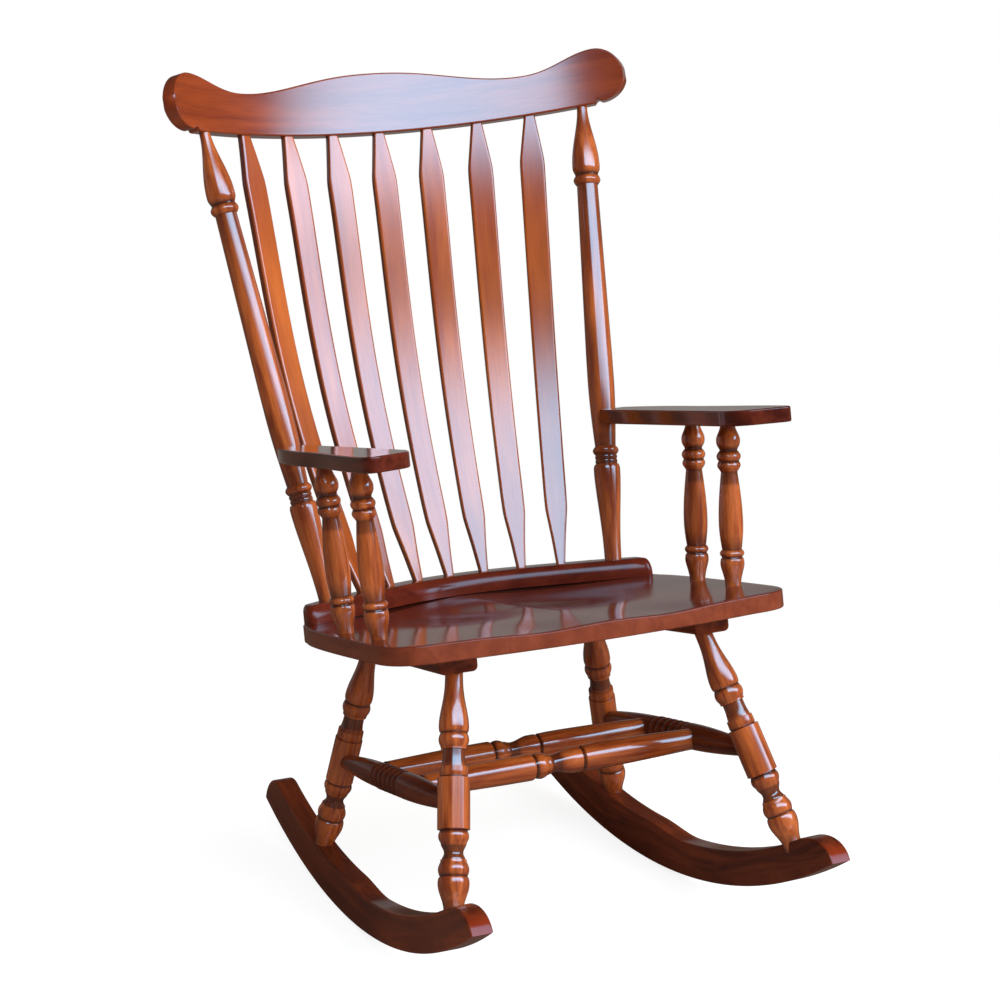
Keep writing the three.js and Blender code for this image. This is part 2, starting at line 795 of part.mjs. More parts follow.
// Seat, rail and cleats
const seat = addPart("seat", seatGeometry(), cherry);
const rail = addPart("seat_rail", railGeometry(), cherry);
const seatHoles = [];
const railHoles = [];
for (const [name, x] of [["left", -railPlugX], ["middle", 0], ["right", railPlugX]]) {
  const y = railFront(x) + (x === 0 ? railMiddlePlugInset : railPlugInset);
  const plug = new THREE.CylinderGeometry(railPlugRadius, railPlugRadius, railPlugThickness, turnedSides);
  const plugTop = vec(x, y, railHeight);
  const plugMesh = addPart(`rail_plug_${name}`, finished(plug), paleWood);
  plugMesh.rotation.x = Math.PI / 2;
  plugMesh.position.set(x, y, railHeight - railPlugThickness / 2);
  const plugFloor = plugTop.clone().setZ(railHeight - railPlugThickness - fitGap);
  const plugAbove = plugTop.clone().setZ(railHeight + railPlugThickness);
  railHoles.push(bore(plugAbove, plugFloor, railPlugRadius + fitGap));
  const size = {
    headRadius: railScrewHeadRadius,
    headThickness: railScrewHeadThickness,
    radius: railScrewRadius,
    length: railScrewLength,
    lead: railPlugThickness / 2,
  };
  const screw = addScrew(`rail_screw_${name}`, plugFloor, vec(x, y, -seatThickness), size, steel);
  railHoles.push(...screw.holes);
  seatHoles.push(...screw.holes);
}

const cleats = {};
for (const [name, side] of [["left", -1], ["right", 1]]) {
  const run = vec(cleatRearX - cleatFrontX, cleatRearY - cleatFrontY, 0);
  const cleat = addPart(`leg_cleat_${name}`, cleatGeometry(run.length()), darkCherry);
  cleat.position.set(side * cleatFrontX, cleatFrontY, -seatThickness - fitGap - cleatHeight);
  cleat.rotation.z = side * Math.atan2(-run.x, run.y);
  cleats[name] = { cleat, holes: [] };
}

// Legs
const cleatUnderside = -seatThickness - fitGap - cleatHeight;
const legs = {};
const rockerHoles = { left: [], right: [] };
const rockerSlabs = {};
const rockers = {};
for (const [name, side] of [["left", -1], ["right", 1]]) {
  const plank = board(rockerShape(), rockerThickness, rockerEdgeRadius, 1, 1);
  const rocker = addPart(`rocker_${name}`, plank, darkCherry);
  rocker.geometry.translate(0, 0, -rockerThickness / 2);
  rocker.geometry.applyMatrix4(new THREE.Matrix4().makeBasis(vec(0, 1, 0), vec(0, 0, 1), vec(1, 0, 0)));
  rocker.geometry.translate(0, -rockerLegY, 0);
  rocker.position.set(side * rockerX, rockerLegY, 0);
  rocker.rotation.z = side * Math.atan(rockerToeShare);
  rocker.updateMatrix();
  rockers[name] = rocker;
  const slab = new THREE.ExtrudeGeometry(rockerShape(), { depth: 2 * legDiameter, bevelEnabled: false });
  slab.translate(0, 0, -legDiameter);
  slab.applyMatrix4(new THREE.Matrix4().makeBasis(vec(0, 1, 0), vec(0, 0, 1), vec(1, 0, 0)));
  slab.translate(0, -rockerLegY, fitGap);
  slab.applyMatrix4(rocker.matrix);
  rockerSlabs[name] = solid(slab);
}
for (const [end, top, foot, barrel] of [
  ["front", frontLegTop, frontLegFoot, frontBarrelShare],
  ["rear", rearLegTop, rearLegFoot, rearBarrelShare],
]) {
  for (const [name, side] of [["left", -1], ["right", 1]]) {
    const from = vec(side * top[0], top[1], cleatUnderside);
    const to = vec(side * foot[0], foot[1], rockerTop(foot[1]) - legFootSink);
    const length = from.distanceTo(to);
    const buried = legFootTenonLength / 2;
    const shares = legShares(barrel);
    const topTenon = { diameter: legFirstShare * legDiameter, length: legTopTenonLength };
    const footTenon = { diameter: shares.at(-1)[2] * legDiameter, length: buried };
    const outline = turnedOutline(shares, legFirstShare, length, legDiameter, topTenon, footTenon);
    const turning = finished(new THREE.LatheGeometry(outline, turnedSides));
    const part = alignPart(addPart(`leg_${end}_${name}`, turning, cherry), from, to);
    part.updateMatrix();
    const trimmed = solid(part.geometry.clone().applyMatrix4(part.matrix)).subtract(rockerSlabs[name]);
    const tenonEnd = beyond(from, to, legFootTenonLength);
    const tenon = rod(beyond(from, to, -buried), tenonEnd, legFootTenonDiameter / 2, turnedSides);
    const whole = surface(trimmed.add(tenon));
    part.geometry = finished(whole.applyMatrix4(part.matrix.clone().invert()));
    legs[`${end}_${name}`] = { part, from, to, holes: [] };
    const topEnd = beyond(to, from, legTopTenonLength);
    cleats[name].holes.push(socket(from, topEnd, topTenon.diameter, cleatHeight, fitGap));
    seatHoles.push(socket(from, topEnd, topTenon.diameter, 0, fitGap));
    rockerHoles[name].push(socket(to, tenonEnd, legFootTenonDiameter, buried, fitGap));
  }
}

// Cleat screws, driven up into the seat
for (const [name, side] of [["left", -1], ["right", 1]]) {
  for (const [place, way] of [["front", -1], ["rear", 1]]) {
    const y = (frontLegTop[1] + rearLegTop[1]) / 2 + way * cleatScrewSpan / 2;
    const t = (y - cleatFrontY) / (cleatRearY - cleatFrontY);
    const x = side * (cleatFrontX + (cleatRearX - cleatFrontX) * t);
    const size = {
      headRadius: cleatScrewHeadRadius,
      headThickness: cleatScrewHeadThickness,
      radius: cleatScrewRadius,
      length: cleatScrewLength,
      lead: cleatScrewHeadThickness,
    };
    const head = vec(x, y, cleatUnderside + fitGap);
    const screw = addScrew(`cleat_screw_${place}_${name}`, head, vec(x, y, 0), size, steel);
    cleats[name].holes.push(...screw.holes);
    seatHoles.push(screw.holes[1]);
  }
}

// Side stretchers between front and rear legs
const sides = {};
const legPoint = ({ from, to }) => from.clone().lerp(to, stretcherDrop / from.distanceTo(to));
for (const name of ["left", "right"]) {
  const rearLeg = legs[`rear_${name}`];
  const frontLeg = legs[`front_${name}`];
  const rearPoint = legPoint(rearLeg);
  const frontPoint = legPoint(frontLeg);
  const entry = legDiameter / 2;
  const from = beyond(frontPoint, rearPoint, -entry);
  const to = beyond(rearPoint, frontPoint, -entry);
  const end = { diameter: stretcherTenonShare * sideStretcherDiameter, length: sideStretcherTenonLength };
  const outline = turnedOutline(
    sideStretcherShares, stretcherTenonShare, from.distanceTo(to), sideStretcherDiameter, end, end,
  );
  const turning = finished(new THREE.LatheGeometry(outline, slimSides));
  const part = alignPart(addPart(`side_stretcher_${name}`, turning, darkCherry), from, to);
  const deep = entry - sideStretcherTenonLength;
  for (const [leg, far, near] of [[rearLeg, frontPoint, rearPoint], [frontLeg, rearPoint, frontPoint]]) {
    const outside = beyond(far, near, -2 * legDiameter);
    leg.holes.push(socket(outside, beyond(far, near, -deep), end.diameter, 0, fitGap));
  }
  sides[name] = { part, from, to, holes: [] };
}

// Cross stretchers between the side stretchers, each held by a screw at either end
const crosses = {};
for (const [end, y] of [["front", frontCrossY], ["rear", rearCrossY]]) {
  const point = (name) => {
    const { from, to } = sides[name];
    return from.clone().lerp(to, (y - from.y) / (to.y - from.y));
  };
  const leftPoint = point("left");
  const rightPoint = point("right");
  const entry = sideStretcherDiameter / 2 + shoulderGap;
  const from = beyond(rightPoint, leftPoint, -entry);
  const to = beyond(leftPoint, rightPoint, -entry);
  const tip = { diameter: stretcherTenonShare * crossStretcherDiameter, length: crossStretcherTenonLength };
  const outline = turnedOutline(
    crossStretcherShares, crossStretcherEndShare, from.distanceTo(to), crossStretcherDiameter, tip, tip,
  );
  const name = `cross_stretcher_${end}`;
  const part = addPart(name, finished(new THREE.LatheGeometry(outline, slimSides)), cherry);
  alignPart(part, from, to);
  crosses[end] = { part, holes: [] };
  for (const [side, near, far] of [["left", leftPoint, rightPoint], ["right", rightPoint, leftPoint]]) {
    const inner = beyond(far, near, -entry + crossStretcherTenonLength);
    sides[side].holes.push(socket(beyond(far, near, -sideStretcherDiameter), inner, tip.diameter, 0, fitGap));
    const size = {
      headRadius: stretcherScrewHeadRadius,
      headThickness: stretcherScrewHeadThickness,
      radius: stretcherScrewRadius,
      length: stretcherScrewLength,
      lead: sideStretcherDiameter / 2,
    };
    const head = beyond(far, near, sideStretcherDiameter / 2 - stretcherScrewHeadThickness);
    const screw = addScrew(`stretcher_screw_${end}_${side}`, head, far, size, brass);
    sides[side].holes.push(...screw.holes);
    crosses[end].holes.push(screw.holes[1]);
  }
}

// Back posts
const crest = addPart("crest_rail", crestGeometry(), cherry);
const crestHoles = [];
const posts = {};
for (const [name, side] of [["left", -1], ["right", 1]]) {
  const to = vec(side * postBaseX, postBaseY, railHeight);
  const from = crestPlace(side * crestRun(postTopX), -crestBottomDrop - fitGap - shoulderGap, 0);
  const top = { diameter: postTenonDiameter, length: postTenonLength };
  const foot = { diameter: backPostShares.at(-1)[2] * postDiameter, length: postFootTenonLength };
  const outline = turnedOutline(backPostShares, postFirstShare, from.distanceTo(to), postDiameter, top, foot);
  const turning = finished(new THREE.LatheGeometry(outline, turnedSides));
  const part = alignPart(addPart(`back_post_${name}`, turning, cherry), from, to);
  const topEnd = beyond(to, from, postTenonLength);
  crestHoles.push(socket(from, topEnd, postTenonDiameter, postTenonLength, fitGap));
  const low = socket(to, beyond(from, to, postFootTenonLength), foot.diameter, railHeight, fitGap);
  railHoles.push(low);
  seatHoles.push(low);
  posts[name] = { part, from, to, holes: [] };
}

// Seven flat spindles, their faces turned to the middle of the bow
const spindleCount = 7;
for (let i = 0; i < spindleCount; i++) {
  const place = i - (spindleCount - 1) / 2;
  const baseX = place * spindleBaseSpacing;
  const from = vec(baseX, railFront(baseX) + railSpindleInset, railHeight + fitGap + shoulderGap);
  const to = crestPlace(crestRun(place * spindleTopSpacing), -crestBottomDrop - fitGap - shoulderGap, 0);
  const axis = to.clone().sub(from);
  const length = axis.length();
  const blade = spindleGeometry(length, spindleTenonDiameter, spindleTenonLength);
  const part = addPart(`spindle_${i + 1}`, blade, cherry);
  const along = axis.normalize();
  const facing = vec(Math.sin(crestRun(place * spindleTopSpacing) / crestBendRadius), 1, 0);
  const across = along.clone().cross(facing).normalize();
  const back = across.clone().cross(along);
  part.position.copy(from);
  part.quaternion.setFromRotationMatrix(new THREE.Matrix4().makeBasis(across, along, back));
  const deep = spindleTenonLength;
  crestHoles.push(socket(to, beyond(from, to, deep), spindleTenonDiameter, deep, fitGap));
  railHoles.push(socket(from, beyond(to, from, deep), spindleTenonDiameter, deep, fitGap));
}

// Arms on their turned posts
for (const [name, side] of [["left", -1], ["right", 1]]) {
  const arm = addPart(`arm_${name}`, board(armShape(), armThickness, armEdgeRadius, 2, 6), darkCherry);
  if (side < 0) {
    arm.geometry.scale(side, 1, 1);
    arm.geometry = finished(arm.geometry);
  }
  arm.position.set(0, 0, armUndersideZ);
  const armHoles = [];
  for (const [end, top, foot] of [
    ["front", frontArmPostTop, frontArmPostFoot],
    ["rear", rearArmPostTop, rearArmPostFoot],
  ]) {
    const from = vec(side * top[0], top[1], armUndersideZ);
    const to = vec(side * foot[0], foot[1], 0);
    const topTenon = { diameter: armPostTenonDiameter, length: armPostTenonLength };
    const footDiameter = armPostShares.at(-1)[2] * armPostDiameter;
    const footTenon = { diameter: footDiameter, length: armPostFootTenonLength };
    const first = armPostTenonDiameter / armPostDiameter;
    const outline = turnedOutline(
      armPostShares, first, from.distanceTo(to), armPostDiameter, topTenon, footTenon,
    );
    const turning = finished(new THREE.LatheGeometry(outline, slimSides));
    alignPart(addPart(`arm_post_${end}_${name}`, turning, cherry), from, to);
    const topEnd = beyond(to, from, armPostTenonLength);
    const footEnd = beyond(from, to, armPostFootTenonLength);
    armHoles.push(socket(from, topEnd, armPostTenonDiameter, armThickness, fitGap));
    seatHoles.push(socket(to, footEnd, footDiameter, armThickness, fitGap));
  }
  const post = posts[name];
  const middle = armUndersideZ + armThickness / 2;
  const level = post.from.clone().lerp(post.to, (post.from.z - middle) / (post.from.z - post.to.z));
  const above = beyond(post.to, level, armThickness);
  const below = beyond(post.from, level, armThickness);
  armHoles.push(bore(above, below, postDiameter / 2 + fitGap));
  const size = {
    headRadius: armScrewHeadRadius,
    headThickness: armScrewHeadRadius / 2,
    radius: armScrewRadius,
    length: armScrewLength,
    lead: armScrewSink * 2,
  };
  const head = level.clone().add(vec(0, postDiameter / 2 - armScrewSink, 0));
  const screwEnd = level.clone().add(vec(0, -armScrewLength, 0));
  const screw = addScrew(`arm_screw_${name}`, head, screwEnd, size, steel);
  post.holes.push(...screw.holes);
  armHoles.push(screw.holes[1]);
  carve(arm, armHoles);
}

// Sockets and screw holes
carve(seat, seatHoles);
carve(rail, railHoles);
carve(crest, crestHoles);
for (const name of ["left", "right"]) {
  carve(cleats[name].cleat, cleats[name].holes);
  carve(rockers[name], rockerHoles[name]);
  carve(sides[name].part, sides[name].holes);
  carve(posts[name].part, posts[name].holes);
}
for (const { part, holes } of Object.values(legs)) carve(part, holes);
for (const { part, holes } of Object.values(crosses)) carve(part, holes);

// At rest the chair leans back on its rockers, its lowest point on the floor, its middle over the origin
chair.rotation.x = -restTilt;
chair.updateMatrixWorld(true);
const box = new THREE.Box3().setFromObject(chair, true);
const root = new THREE.Group();
root.name = "chair_at_rest";
root.position.set(0, -(box.min.y + box.max.y) / 2, -box.min.z);
root.add(chair);

export default root;
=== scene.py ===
"""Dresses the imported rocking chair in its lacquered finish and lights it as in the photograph.

Lengths are millimetres in the seat's own frame, X across, Y to the back, Z up, the seat's flat top at zero,
unless a comment says metres. The chair's left is the left of someone who looks at its front.
"""
import math

import bpy
import numpy as np
from mathutils import Matrix, Vector


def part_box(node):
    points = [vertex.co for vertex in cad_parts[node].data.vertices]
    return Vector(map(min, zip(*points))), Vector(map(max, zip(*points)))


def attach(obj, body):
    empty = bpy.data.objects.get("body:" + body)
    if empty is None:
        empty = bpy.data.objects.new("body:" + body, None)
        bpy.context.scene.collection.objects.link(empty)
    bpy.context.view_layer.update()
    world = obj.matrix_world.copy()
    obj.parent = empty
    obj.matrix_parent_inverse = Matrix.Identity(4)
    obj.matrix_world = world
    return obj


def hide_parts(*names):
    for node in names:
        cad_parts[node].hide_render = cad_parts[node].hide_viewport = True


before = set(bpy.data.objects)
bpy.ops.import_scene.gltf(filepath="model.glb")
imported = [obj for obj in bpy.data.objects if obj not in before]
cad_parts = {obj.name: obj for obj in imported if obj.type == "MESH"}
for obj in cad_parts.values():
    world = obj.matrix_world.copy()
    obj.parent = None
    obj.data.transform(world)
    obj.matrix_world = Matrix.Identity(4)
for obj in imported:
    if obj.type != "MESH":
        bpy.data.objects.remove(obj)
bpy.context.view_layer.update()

MM = 0.001
REST_TILT = math.radians(12.5)
SEATING = 2.0
SIDES = (("left", -1), ("right", 1))

# Seat
SEAT_THICKNESS = 24.3
SEAT_FRONT_Y = -308.0
SEAT_FRONT_CORNER = (222.0, -285.5)
SEAT_SIDE = (289.0, -215.0)
SEAT_REAR_CORNER = (272.0, 71.0)
SEAT_REAR_INSET = (254.5, 114.0)
SEAT_REAR_Y = 235.5
SEAT_EDGE = 2.4
SADDLE_DEPTH = 8.4
SADDLE_LOBE = (86.0, 18.7)
SADDLE_SPREAD = (82.5, 126.0)
SADDLE_LIP_DEPTH = 3.3
SADDLE_LIP_X = 89.0
SADDLE_LIP_SPREAD = 56.1
SADDLE_LIP_RUN = 112.0
# Painted shade: the share by which the seat's top face is darkened
SEAT_TOP_PAINTED_SHADE = 0.85
SEAT_RINGS = 30
SEAT_UNDERSIDE_SHARE = 0.96
SEAT_STEPS = {"front": 24, "corner": 28, "side": 18, "rear_corner": 8, "rear": 28}

# Seat rail
RAIL_END_X = 264.5
RAIL_FRONT_END_Y = 65.5
RAIL_BOW = 100.0
RAIL_BOW_HALF_SPAN = 308.5
RAIL_DEPTH = 56.1
RAIL_HEIGHT = 26.2
RAIL_ROUND_HEIGHT = 21.0
RAIL_ROUND_DEPTH = 13.0
RAIL_BACK_ROUND = 4.8
RAIL_END_ROUND = 11.0
RAIL_END_SHARE = 0.6
RAIL_END_RISE_SHARE = 0.96
RAIL_END_POWER = 6
RAIL_FRONT_FOOT = 0.6
RAIL_ARC_STEPS = 12
RAIL_CUTS = 100
RAIL_SPINDLE_INSET = 33.7
RAIL_PLUG_RADIUS = 4.7
RAIL_PLUG_THICKNESS = 3.7
RAIL_PLUG_X = 192.5
RAIL_PLUG_INSET = 39.3
RAIL_MIDDLE_PLUG_INSET = 17.8
PLUG_CROWN = 0.25
PLUG_RIM = 0.2
PLUG_DOME_SHARES = ((0.97, 0.08), (0.6, 0.7), (0.2, 1))
PLUG_STAIN = (1, 1, 0.8, 0, 0)

# Back
CREST_CENTRE_Y = 304.0
CREST_CENTRE_Z = 665.5
CREST_RAKE = math.radians(9.6)
CREST_BEND_RADIUS = 558.0
CREST_THICKNESS = 20.6
CREST_HALF_RUN = 377.5
CREST_HUMP = 87.0
CREST_DIP_RUN = 226.5
CREST_DIP = 58.0
CREST_EAR_RUN = 334.5
CREST_EAR = 79.5
CREST_TIP = 33.7
CREST_LOBE_RUN = 337.5
CREST_NOTCH_RUN = 332.0
CREST_NOTCH_DEPTH = 4.2
CREST_BOTTOM_DROP = 1.9
CREST_WAVE_LEAN = 1.12
CREST_EDGE = 2.4
CREST_TRIM = (1.4, 0.7)
CREST_CUTS = 240
CREST_CROWDING = 0.6
POST_TOP_X = 291.5
POST_BASE = (220.5, 113.0)
POST_DIAMETER = 39.3
POST_FIRST_SHARE = 0.38
POST_SINK = 12
SPINDLE_COUNT = 7
SPINDLE_BASE_SPACING = 51.4
SPINDLE_TOP_SPACING = 74.0
SPINDLE_WIDTH = 36.5
SPINDLE_THICKNESS = 12.2
SPINDLE_EDGE = 3.6
# Painted shade on the slats' narrow sides
SPINDLE_SIDE_PAINTED_SHADE = 0.75
SPINDLE_BOW = 33.9
SPINDLE_BOW_EASE = 0.83
SPINDLE_BOW_EASE_POWER = 2.67
SPINDLE_SHOULDER_REACH = 0.007
SPINDLE_SHOULDER_SAMPLES = 7
SPINDLE_CUTS = 96

# Arms and their posts
ARM_THICKNESS = 20.6
ARM_UNDERSIDE_Z = 220.3
ARM_INNER_X = 226.5
ARM_REAR_OUTER_X = 267.0
ARM_WAIST_X = 287.5
ARM_FRONT_OUTER_X = 304.5
ARM_REAR_Y = 126.0
ARM_REAR_BEND_Y = 45.0
ARM_WAIST_Y = -40.0
ARM_FLARE_Y = -110.0
ARM_HIP_Y = -180.0
ARM_INNER_SHOULDER_Y = -222.0
ARM_SHOULDER_Y = -266.0
ARM_FRONT_INNER_Y = -262.0
ARM_FRONT_OUTER_Y = -293.0
ARM_EDGE = 2.3
ARM_FRONT_STRAIGHT_SHARES = (0.36, 0.74)
ARM_STEPS = {"corner": 16, "flank": 30, "rear": 20}
ARM_POST_DIAMETER = 33.3
ARM_POST_FIRST_SHARE = 0.6
ARM_POST_SINK = 4
ARM_POSTS = {"front": ((268.5, -168.5), (260.0, -161.0)), "rear": ((274.0, -61.0), (263.5, -55.2))}

# Cleats and legs
CLEAT_WIDTH = 52.4
CLEAT_HEIGHT = 24.3
CLEAT_FRONT = (184.0, -231.0)
CLEAT_REAR = (169.0, 127.0)
CLEAT_EDGE = 7.0
CLEAT_TOP_EDGE = 1.5
CLEAT_END_EDGE = 1.5
CLEAT_GAP = 0.3
LEG_DIAMETER = 38.3
LEG_FIRST_SHARE = 0.6
LEG_SINK = 14.0
LEG_FOOT_SINK = 3.0
LEGS = {"front": ((181.5, -208.5), (246.0, -285.0)), "rear": ((171.0, 100.0), (230.0, 197.5))}
BARREL_SHARES = {"front": 1.09, "rear": 1.0}

# Stretchers
STRETCHER_DROP = 169.0
SIDE_DIAMETER = 36.5
CROSS_DIAMETER = 36.9
SIDE_END_SHARE = 0.6
CROSS_END_SHARE = 0.8
SHOULDER_GAP = 1.0
STRETCHER_SINK = (6, 6)
CROSS_Y = {"front": -110.5, "rear": 22.4}

# Rockers
ROCKER_THICKNESS = 29.9
ROCKER_BOTTOM_RADIUS = 869.5
ROCKER_CENTRE_Y = -42.1
ROCKER_BOTTOM_Z = -418.0
ROCKER_FRONT_DEPTH = 49.6
ROCKER_REAR_DEPTH = 59.8
ROCKER_FRONT_Y = -391.5
ROCKER_NOSE_DROP = 5.0
ROCKER_NOSE_RUN = 63.5
ROCKER_REAR_Y = 417.0
ROCKER_TAIL_RUN = 42.0
ROCKER_STEP = (-18.7, 84.0)
ROCKER_EDGE = 2.8
ROCKER_TRIM = 0.25
# Painted light: how far the rockers' nose fronts are lightened
ROCKER_NOSE_PAINTED_LIGHT = 0.9
ROCKER_X = 250.5
ROCKER_LEG_Y = -285.0
ROCKER_TOE_SHARE = 0.045
ROCKER_END_STEPS = 14
ROCKER_BOTTOM_POINTS = 90
ROCKER_TOP_POINTS = 80

# How finely the curves are drawn
SPOKES = 48
FORM_STEPS = {"swell": 12, "drop": 8, "bead": 14, "line": 2, "rise": 8, "bow": 24, "fall": 24}
ARC_STEPS = 6
OUTLINE_STEP = 4.0
FLAT_START = 0.7
MITRE_LIMIT = 0.5
SHARP_ANGLE = math.radians(38)
NEAR_PARALLEL = 0.9

# Painted shade in the grooves, hollows and steps of turnings: how far off the higher places may lie, and the depth
# at which the shade is full
GROOVE = (6, 2)
HOLLOW = (22, 3.4)
HOLLOW_PAINTED_SHADE = 0.8
PAINTED_SHADE_START = 0.1
STEP_PAINTED_SHADE = 0.25

# Each piece's name picks where in the wood it is cut, in metres
GRAIN_PLACES = 97
GRAIN_PLACES_PER_METRE = 10
GRAIN_SHIFT_ACROSS = 3
GRAIN_SHIFT_THROUGH = 7

# Turnings: form, share of the run, share of the diameter at its end, then the peak or the bias of the curve

def leg_shares(barrel):
    return [
        ("swell", 0.235, 1.01, 1.4), ("drop", 0.026, 0.89), ("bead", 0.06, 0.87, 1.03), ("line", 0.01, 0.87),
        ("line", 0.002, 0.74), ("swell", 0.071, 0.82, 2), ("line", 0.002, 0.93), ("line", 0.036, 0.94),
        ("line", 0.006, 0.88), ("line", 0.003, barrel), ("line", 0.215, barrel), ("line", 0.004, 0.9),
        ("bead", 0.052, 0.86, 1.04), ("swell", 0.04, 0.64, 1), ("swell", 0.027, 0.78, 1.3), ("line", 0.002, 0.86),
        ("line", 0.011, 0.88), ("bead", 0.058, 0.92, 1.05), ("line", 0.002, 0.92), ("rise", 0.028, 1.05),
        ("swell", 0.11, 0.66, 1),
    ]


ARM_POST_SHARES = [
    ("swell", 0.105, 0.97, 1.2), ("swell", 0.063, 0.72, 1.6), ("line", 0.003, 0.75), ("bead", 0.062, 0.82, 1.02),
    ("bead", 0.055, 0.76, 0.98), ("swell", 0.013, 0.67, 1), ("bow", 0.314, 0.99), ("fall", 0.156, 0.81),
    ("line", 0.004, 0.79), ("bead", 0.048, 0.82, 1.01), ("line", 0.003, 0.84), ("rise", 0.038, 0.98),
    ("swell", 0.136, 0.65, 0.8),
]
BACK_POST_SHARES = [
    ("swell", 0.1333, 1.02, 0.95), ("swell", 0.0207, 0.84, 1.5), ("bead", 0.0205, 0.84, 1), ("line", 0.001, 0.77),
    ("line", 0.3745, 0.965), ("line", 0.056, 0.975), ("fall", 0.148, 0.76), ("bead", 0.019, 0.77, 0.96),
    ("bead", 0.0095, 0.76, 0.82), ("bead", 0.0095, 0.77, 0.82), ("rise", 0.013, 0.975), ("swell", 0.195, 0.62, 0.85),
]
SIDE_STRETCHER_SHARES = [
    ("bow", 0.36, 0.94), ("line", 0.01, 0.88), ("bead", 0.046, 0.88, 1), ("bead", 0.046, 0.88, 1),
    ("bead", 0.046, 0.88, 1), ("bead", 0.046, 0.88, 1), ("bead", 0.046, 0.88, 1), ("rise", 0.02, 1),
    ("fall", 0.38, 0.6),
]
CROSS_STRETCHER_SHARES = [
    ("bow", 0.385, 0.98), ("drop", 0.012, 0.8), ("bead", 0.05, 0.78, 0.97), ("swell", 0.03, 0.64, 1),
    ("swell", 0.075, 0.95, 1), ("line", 0.022, 0.95), ("line", 0.008, 0.8), ("line", 0.008, 0.95),
    ("line", 0.04, 0.98), ("fall", 0.37, 0.8),
]
SPINDLE_WIDTH_SHARES = [(0, 0.34), (0.06, 0.56), (0.125, 0.87), (0.16, 0.9), (0.88, 1), (0.9, 0.98), (1, 0.42)]


# Frames and curves

def rail_front(x):
    """Y of the seat rail's front foot."""
    return RAIL_FRONT_END_Y + RAIL_BOW * math.cos(math.pi * x / RAIL_BOW_HALF_SPAN / 2) ** 2


def seat_to_world():
    """The seat's frame in the world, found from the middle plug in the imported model."""
    low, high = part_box("rail_plug_middle")
    middle = (Vector(low) + Vector(high)) / 2
    turn = Matrix.Rotation(-REST_TILT, 4, "X")
    plug_y = rail_front(0) + RAIL_MIDDLE_PLUG_INSET
    plug = Vector((0, plug_y, RAIL_HEIGHT - RAIL_PLUG_THICKNESS / 2)) * MM
    return Matrix.Translation(middle - turn @ plug) @ turn @ Matrix.Scale(MM, 4)


TO_WORLD = seat_to_world()


def vec(*values):
    return np.array(values, dtype=float)


def unit(v):
    return v / np.linalg.norm(v)


def quarter_turn(steps=ARC_STEPS):
    return np.linspace(0, math.pi / 2, steps + 1)


def beyond(start, end, length):
    """The point that lies length past end, on the line from start."""
    return end + unit(end - start) * length


def quadratic(a, b, c, steps):
    """Points of a quadratic curve, without its first."""
    t = (np.arange(steps) + 1)[:, None] / steps
    return (1 - t) ** 2 * vec(*a) + 2 * t * (1 - t) * vec(*b) + t ** 2 * vec(*c)


def cubic(a, b, c, d, steps):
    """Points of a cubic curve, without its first."""
    t = (np.arange(steps) + 1)[:, None] / steps
    far = 3 * t ** 2 * (1 - t) * vec(*c) + t ** 3 * vec(*d)
    return (1 - t) ** 3 * vec(*a) + 3 * t * (1 - t) ** 2 * vec(*b) + far


def smooth(low, high, value):
    t = np.clip((value - low) / (high - low), 0, 1)
    return t * t * (3 - 2 * t)


def frame_along(start, end):
    """Axes of a piece made along its own Y, as columns: across, along and back."""
    along = unit(end - start)
    aside = vec(0, 1, 0) if abs(along[1]) < NEAR_PARALLEL else vec(0, 0, 1)
    across = unit(np.cross(along, aside))
    return np.stack([across, along, np.cross(across, along)], axis=1)


# Meshes

def ring_faces(rings, count):
    """Quads between rings of count points each, with a face over either end."""
    faces = []
    for r in range(rings - 1):
        for j in range(count):
            k = (j + 1) % count
            faces.append((r * count + j, r * count + k, (r + 1) * count + k, (r + 1) * count + j))
    faces.append(tuple(range(count))[::-1])
    faces.append(tuple(range((rings - 1) * count, rings * count)))
    return faces


def add_piece(name, points, faces, material, nodes, grain=None, stain_and_painted_light=None):
    """A piece in place of CAD nodes. Its wood follows grain; its stain value is 1 at full stain and full painted
    shade, as in a groove, and below 0 where light is painted on.
    """
    mesh = bpy.data.meshes.new(name)
    world = np.array(TO_WORLD)
    placed = points @ world[:3, :3].T + world[:3, 3]
    mesh.from_pydata(placed.tolist(), [], faces)
    mesh.validate()
    mesh.update()
    place = sum(ord(letter) * (i + 1) for i, letter in enumerate(name)) % GRAIN_PLACES
    shift = place / GRAIN_PLACES_PER_METRE
    cut = vec(shift, shift / GRAIN_SHIFT_ACROSS, shift / GRAIN_SHIFT_THROUGH)
    lie = (points if grain is None else grain) * MM + cut
    mesh.attributes.new("grain", "FLOAT_VECTOR", "POINT").data.foreach_set("vector", lie.ravel())
    depth = np.zeros(len(points)) if stain_and_painted_light is None else stain_and_painted_light
    mesh.attributes.new("stain_and_painted_light", "FLOAT", "POINT").data.foreach_set("value", depth)
    mesh.materials.append(material)
    piece = bpy.data.objects.new(name, mesh)
    bpy.context.scene.collection.objects.link(piece)
    orient_outward(mesh)
    mesh.shade_smooth()
    mesh.set_sharp_from_angle(angle=SHARP_ANGLE)
    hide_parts(*nodes)
    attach(piece, "root")


def orient_outward(mesh):
    """Turns the faces outward where the closed mesh was made inside out."""
    places = np.array([v.co for v in mesh.vertices])
    volume = 0
    for face in mesh.polygons:
        corners = places[list(face.vertices)]
        for i in range(1, len(corners) - 1):
            volume += np.dot(corners[0], np.cross(corners[i], corners[i + 1]))
    if volume < 0:
        mesh.flip_normals()


